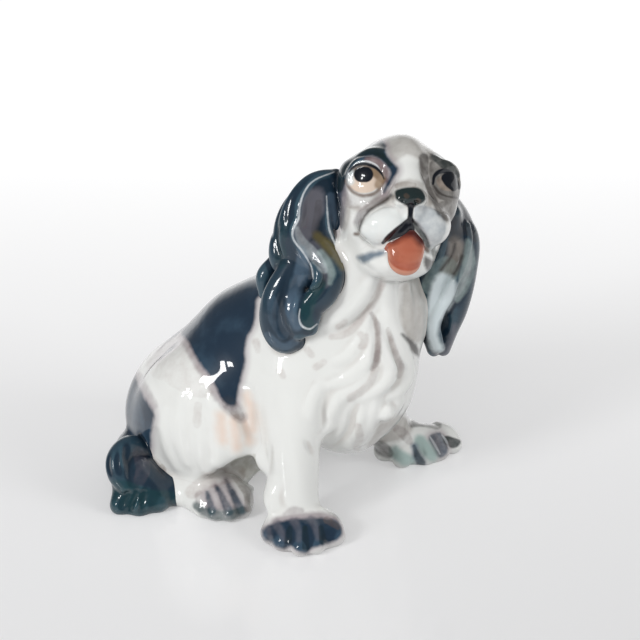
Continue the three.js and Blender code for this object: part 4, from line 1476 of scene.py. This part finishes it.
# The curve attribute, in mm, from flat to a full ridge and to a full hollow
RIDGE = (0.10, 0.42)
HOLLOW = (0.0, -0.7)
# Shares of the hollow tint, partly painted shade, and of the ridge tint, partly a painted highlight
POOLED_AND_SHADE_SHARE = 0.45
THINNED_AND_HIGHLIGHT_SHARE = 0.6
# The black: a bloom past its edge, clouds of thinner blue in it, and ridges paler where it has run off,
# partly a painted highlight
BLOOM_DEPTH = (-3.6, 0.5)
BLOOM_SHARE = 0.55
CLOUD_SCALE = 70.0
CLOUD_RANGE = (0.45, 0.75)
CLOUD_SHARE = 0.45
RUN_OFF_AND_HIGHLIGHT_SHARE = 0.5


def underglaze_shade_and_highlight(brush):
    """Group: the pigments brushed on a ground colour, paler on ridges where the glaze runs thin and as a
    painted highlight, darker in hollows where the glaze collects and as painted shade.
    """
    tree, start, end = group_tree("underglaze_shade_and_highlight", GLAZE_COLOURS, [("Color", "NodeSocketColor")])
    curve = add(tree, "ShaderNodeAttribute", attribute_name="curve").outputs["Fac"]
    ridge = ramp_of(tree, curve, *RIDGE)
    hollow = ramp_of(tree, curve, *HOLLOW)
    cloud = noise_of(tree, CLOUD_SCALE, 4.0)
    # Painted shade in hollows and a painted highlight on ridges, each partly the glaze's own thickness
    colour = mixed(tree, times(tree, hollow, POOLED_AND_SHADE_SHARE), start.outputs["Ground"], start.outputs["PooledAndShade"])
    colour = mixed(tree, times(tree, ridge, THINNED_AND_HIGHLIGHT_SHARE), colour, start.outputs["ThinAndHighlight"])
    for name, pigment in PIGMENTS.items():
        depth = add(tree, "ShaderNodeAttribute", attribute_name=name).outputs["Fac"]
        links = {"Distance": depth, "Softness": pigment.softness, "Ragged": pigment.ragged}
        mask = add(tree, "ShaderNodeGroup", node_tree=brush)
        for label, source in links.items():
            feed(tree, mask.inputs[label], source)
        share = times(tree, mask.outputs["Mask"], pigment.opacity)
        tint = pigment.colour
        if name == "black":
            bloom = ramp_of(tree, depth, *BLOOM_DEPTH)
            colour = mixed(tree, times(tree, bloom, BLOOM_SHARE), colour, BLOOM)
            cloudy = times(tree, ramp_of(tree, cloud, *CLOUD_RANGE), CLOUD_SHARE)
            tint = mixed(tree, cloudy, pigment.colour, BLUE_THIN_AND_HIGHLIGHT)
            # A painted highlight on the black's ridges, partly where the glaze runs off
            tint = mixed(tree, times(tree, ridge, RUN_OFF_AND_HIGHLIGHT_SHARE), tint, BLUE_THIN_AND_HIGHLIGHT)
        colour = mixed(tree, share, colour, tint)
    tree.links.new(colour, end.inputs["Color"])
    return tree


# Heights in metres over the floor between which the glaze begins
GLAZE_EDGE = (0.0003, 0.0010)
RIPPLE_SCALE = 110.0
RIPPLE_STRENGTH = 0.35
RIPPLE_HEIGHT = 0.0004
BARE_ROUGHNESS = 0.85
GLAZED_ROUGHNESS = 0.35


def glaze_skin():
    """Group: where the glaze lies, which is wiped off the soles before firing."""
    tree, _, end = group_tree("glaze_skin", [], [("Glazed", "NodeSocketFloat")])
    place = add(tree, "ShaderNodeTexCoord").outputs["Object"]
    high = add(tree, "ShaderNodeSeparateXYZ", {0: place}).outputs["Z"]
    tree.links.new(ramp_of(tree, high, *GLAZE_EDGE), end.inputs["Glazed"])
    return tree


def glazed(name, skin):
    """A porcelain material under clear glaze: its tree and its shader.

    The glaze's slow ripple turns the coat's normal alone, so it is made here and not in the group.
    """
    material = bpy.data.materials.new(name)
    material.use_nodes = True
    tree = material.node_tree
    shader = tree.nodes["Principled BSDF"]
    shader.inputs["Specular IOR Level"].default_value = 0.15
    shader.inputs["Coat Roughness"].default_value = 0.025
    shader.inputs["Coat IOR"].default_value = 1.5
    ripple = noise_of(tree, RIPPLE_SCALE, 1.0)
    links = {"Height": ripple, "Strength": RIPPLE_STRENGTH, "Distance": RIPPLE_HEIGHT}
    bump = add(tree, "ShaderNodeBump", links)
    tree.links.new(bump.outputs["Normal"], shader.inputs["Coat Normal"])
    covered = add(tree, "ShaderNodeGroup", node_tree=skin).outputs["Glazed"]
    tree.links.new(covered, shader.inputs["Coat Weight"])
    links = {"Value": covered, "To Min": BARE_ROUGHNESS, "To Max": GLAZED_ROUGHNESS}
    rough = add(tree, "ShaderNodeMapRange", links)
    tree.links.new(rough.outputs["Result"], shader.inputs["Roughness"])
    return material, tree, shader


def decorated(name, ground, pooled_and_shade, thin, skin, decoration_shade_and_highlight):
    """Porcelain with the brushwork over a ground colour, and its tints in hollows, partly glaze collecting
    and partly painted shade, and on ridges, partly thin glaze and partly a painted highlight.
    """
    material, tree, shader = glazed(name, skin)
    colour = add(tree, "ShaderNodeGroup", node_tree=decoration_shade_and_highlight)
    for label, tint in (("Ground", ground), ("PooledAndShade", pooled_and_shade), ("ThinAndHighlight", thin)):
        feed(tree, colour.inputs[label], tint)
    tree.links.new(colour.outputs["Color"], shader.inputs["Base Color"])
    return material


def white_glaze(skin, decoration_shade_and_highlight):
    """The white body of the pup, warmer and darker in hollows, partly where the glaze pools and partly as
    painted shade.
    """
    return decorated("white_glaze", WHITE_GLAZE, WHITE_POOLED_AND_SHADE, WHITE_GLAZE, skin, decoration_shade_and_highlight)


def black_glaze(skin, decoration_shade_and_highlight):
    """The blue-black of the ears and the tail, paler on the ridges, partly thinner glaze and partly a
    painted highlight, and darker in hollows, partly collecting glaze and partly painted shade.
    """
    return decorated("black_glaze", BLACK_GLAZE, BLACK_POOLED_AND_SHADE, BLACK_THIN_AND_HIGHLIGHT, skin, decoration_shade_and_highlight)


TONGUE_DEEP = srgb(164, 84, 60)
TONGUE_RED = srgb(178, 98, 74)
TONGUE_THIN_AND_HIGHLIGHT = srgb(214, 158, 132)
TONGUE_SHADE = srgb(84, 34, 30)


def tongue_glaze(skin):
    """Terracotta, paler on the rim where the glaze is thin and as a painted highlight, with painted shade up
    in the mouth.
    """
    material, tree, shader = glazed("tongue_glaze", skin)
    curve = add(tree, "ShaderNodeAttribute", attribute_name="curve").outputs["Fac"]
    cloud = noise_of(tree, 160.0, 3.0)
    colour = mixed(tree, ramp_of(tree, cloud, 0.4, 0.65), TONGUE_DEEP, TONGUE_RED)
    # Painted highlight on the rim, partly thin glaze
    thin = times(tree, ramp_of(tree, curve, 0.12, 0.40), 0.6)
    colour = mixed(tree, thin, colour, TONGUE_THIN_AND_HIGHLIGHT)
    # Painted shade where the tongue goes up into the mouth
    shade = add(tree, "ShaderNodeAttribute", attribute_name="sepia_and_shade").outputs["Fac"]
    colour = mixed(tree, ramp_of(tree, shade, -2.5, 1.0), colour, TONGUE_SHADE)
    tree.links.new(colour, shader.inputs["Base Color"])
    return material


# The stage, its light and the camera

def along(tree, source, direction):
    """How far a vector goes along a direction."""
    links = {0: source, 1: direction}
    return add(tree, "ShaderNodeVectorMath", links, operation="DOT_PRODUCT").outputs["Value"]


def rise(tree, source, between, levels):
    """A straight rise from one level to another, between two values."""
    links = {"Value": source, "From Min": between[0], "From Max": between[1]}
    links.update({"To Min": levels[0], "To Max": levels[1]})
    return add(tree, "ShaderNodeMapRange", links).outputs["Result"]


FLOOR_HALF = 6.0
FLOOR_COLOUR = srgb(214, 214, 215)
# Metres behind the figure between which the floor's glow rises, and its strength there
GLOW_FROM, GLOW_TO = -0.20, 0.38
GLOW_FRONT, GLOW_BACK = 0.12, 0.6
FLOOR_CORNERS = ((-1, -1), (1, -1), (1, 1), (-1, 1))


def make_floor():
    """A pale sweep, whiter to the camera and in the glaze the farther back it lies."""
    mesh = bpy.data.meshes.new("floor")
    corners = [(FLOOR_HALF * x, FLOOR_HALF * y, 0) for x, y in FLOOR_CORNERS]
    mesh.from_pydata(corners, [], [(0, 1, 2, 3)])
    floor = bpy.data.objects.new("floor", mesh)
    bpy.context.scene.collection.objects.link(floor)
    material = bpy.data.materials.new("pale_floor")
    material.use_nodes = True
    tree = material.node_tree
    shader = tree.nodes["Principled BSDF"]
    shader.inputs["Base Color"].default_value = FLOOR_COLOUR
    shader.inputs["Roughness"].default_value = 0.12
    shader.inputs["Specular IOR Level"].default_value = 0.35
    shader.inputs["Emission Color"].default_value = (1, 1, 1, 1)
    place = add(tree, "ShaderNodeTexCoord").outputs["Object"]
    back = along(tree, place, (*VIEW.ahead[:2], 0))
    glow = rise(tree, back, (GLOW_FROM, GLOW_TO), (GLOW_FRONT, GLOW_BACK))
    path = add(tree, "ShaderNodeLightPath").outputs
    rays = {0: path["Is Camera Ray"], 1: path["Is Glossy Ray"]}
    shown = add(tree, "ShaderNodeMath", rays, operation="MAXIMUM").outputs[0]
    tree.links.new(times(tree, glow, shown), shader.inputs["Emission Strength"])
    mesh.materials.append(material)


LAMP_AIM = np.array((0, 0, 0.08))


def make_lamp(name, azimuth, elevation, distance, size, power, mirrored=False):
    """A soft box that faces the figure, placed by its direction from it in degrees and its distance.

    mirrored shows it in the glaze.
    """
    turn, lift = np.radians((azimuth, elevation))
    back = np.array((np.sin(turn) * np.cos(lift), -np.cos(turn) * np.cos(lift), np.sin(lift)))
    data = bpy.data.lights.new(name, "AREA")
    data.shape = "RECTANGLE"
    data.size, data.size_y = size
    data.energy = power
    lamp = bpy.data.objects.new(name, data)
    lamp.matrix_world = facing(LAMP_AIM + back * distance, -back)
    lamp.visible_glossy = mirrored
    bpy.context.scene.collection.objects.link(lamp)


def facing(place, ahead):
    """A matrix that stands at a place and looks ahead along -Z, with Y up."""
    right = np.cross(ahead, (0, 0, 1))
    right /= np.linalg.norm(right)
    up = np.cross(right, ahead)
    matrix = np.eye(4)
    matrix[:3, :3] = np.column_stack((right, up, -np.asarray(ahead)))
    matrix[:3, 3] = place
    return Matrix(matrix.tolist())


# The sweep that the glaze shows at its rims brightens over these cosines from the view's direction
SWEEP = (0.55, 0.85)
SWEEP_LEVELS = (0.14, 1.2)
ROOM_LEVEL = 0.38


def make_light():
    """A window of two panes beside the camera, soft light from the front, and the white sweep behind."""
    world = bpy.data.worlds.new("studio")
    world.use_nodes = True
    tree = world.node_tree
    background = tree.nodes["Background"]
    background.inputs["Color"].default_value = (1, 1, 1, 1)
    back = add(tree, "ShaderNodeNewGeometry").outputs["Incoming"]
    sweep = rise(tree, along(tree, back, tuple(-VIEW.ahead)), SWEEP, SWEEP_LEVELS)
    glossy = add(tree, "ShaderNodeLightPath").outputs["Is Glossy Ray"]
    level = add(tree, "ShaderNodeMix", {0: glossy, 2: ROOM_LEVEL, 3: sweep})
    tree.links.new(level.outputs[0], background.inputs["Strength"])
    bpy.context.scene.world = world
    make_lamp("window_upper", -107, 30, 1.1, (0.32, 0.13), 3.2, mirrored=True)
    make_lamp("window_lower", -109, 18, 1.1, (0.15, 0.18), 2.0, mirrored=True)
    make_lamp("key_box", -72, 30, 1.2, (0.8, 0.7), 3.0)
    make_lamp("fill_box", 5, 24, 1.4, (0.6, 0.6), 5.8)


def make_camera():
    """The photograph's camera, in the frame."""
    data = bpy.data.cameras.new("camera")
    data.sensor_width = SENSOR
    data.lens = VIEW_FOCAL * SENSOR / PHOTO_SIZE
    camera = bpy.data.objects.new("camera", data)
    camera.matrix_world = facing((VIEW.place + STAND) * MM, VIEW.ahead)
    bpy.context.scene.collection.objects.link(camera)
    bpy.context.scene.camera = camera


# Pieces that aren't of the white glaze
SLOTS = {
    "right_ear": "black_glaze",
    "left_ear": "black_glaze",
    "tail": "black_glaze",
    "tongue": "tongue_glaze",
}


def model_figure():
    """All the clay, in the order that it is pressed on."""
    model_torso()
    model_right_foreleg()
    model_left_foreleg()
    model_hind_feet()
    model_head()
    model_jaw()
    model_tongue()
    comb_coat()
    model_tail()
    model_right_ear()
    model_left_ear()
    open_vent()


def paint_figure():
    """All the brushwork."""
    paint_body()
    paint_paws()
    paint_face()
    paint_right_ear()
    paint_left_ear()
    paint_tail()


def main():
    bpy.context.scene.view_settings.view_transform = "Standard"
    make_camera()
    make_floor()
    make_light()
    model_figure()
    paint_figure()
    skin = glaze_skin()
    decoration_shade_and_highlight = underglaze_shade_and_highlight(brushed_on())
    glazes = {
        "white_glaze": white_glaze(skin, decoration_shade_and_highlight),
        "black_glaze": black_glaze(skin, decoration_shade_and_highlight),
        "tongue_glaze": tongue_glaze(skin),
    }
    for piece in PITCH:
        obj = piece_object(piece, *cast(piece))
        slot = SLOTS.get(piece, "white_glaze")
        obj.data.materials.append(glazes[slot])
        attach(obj, "root")
        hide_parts(piece)


main()
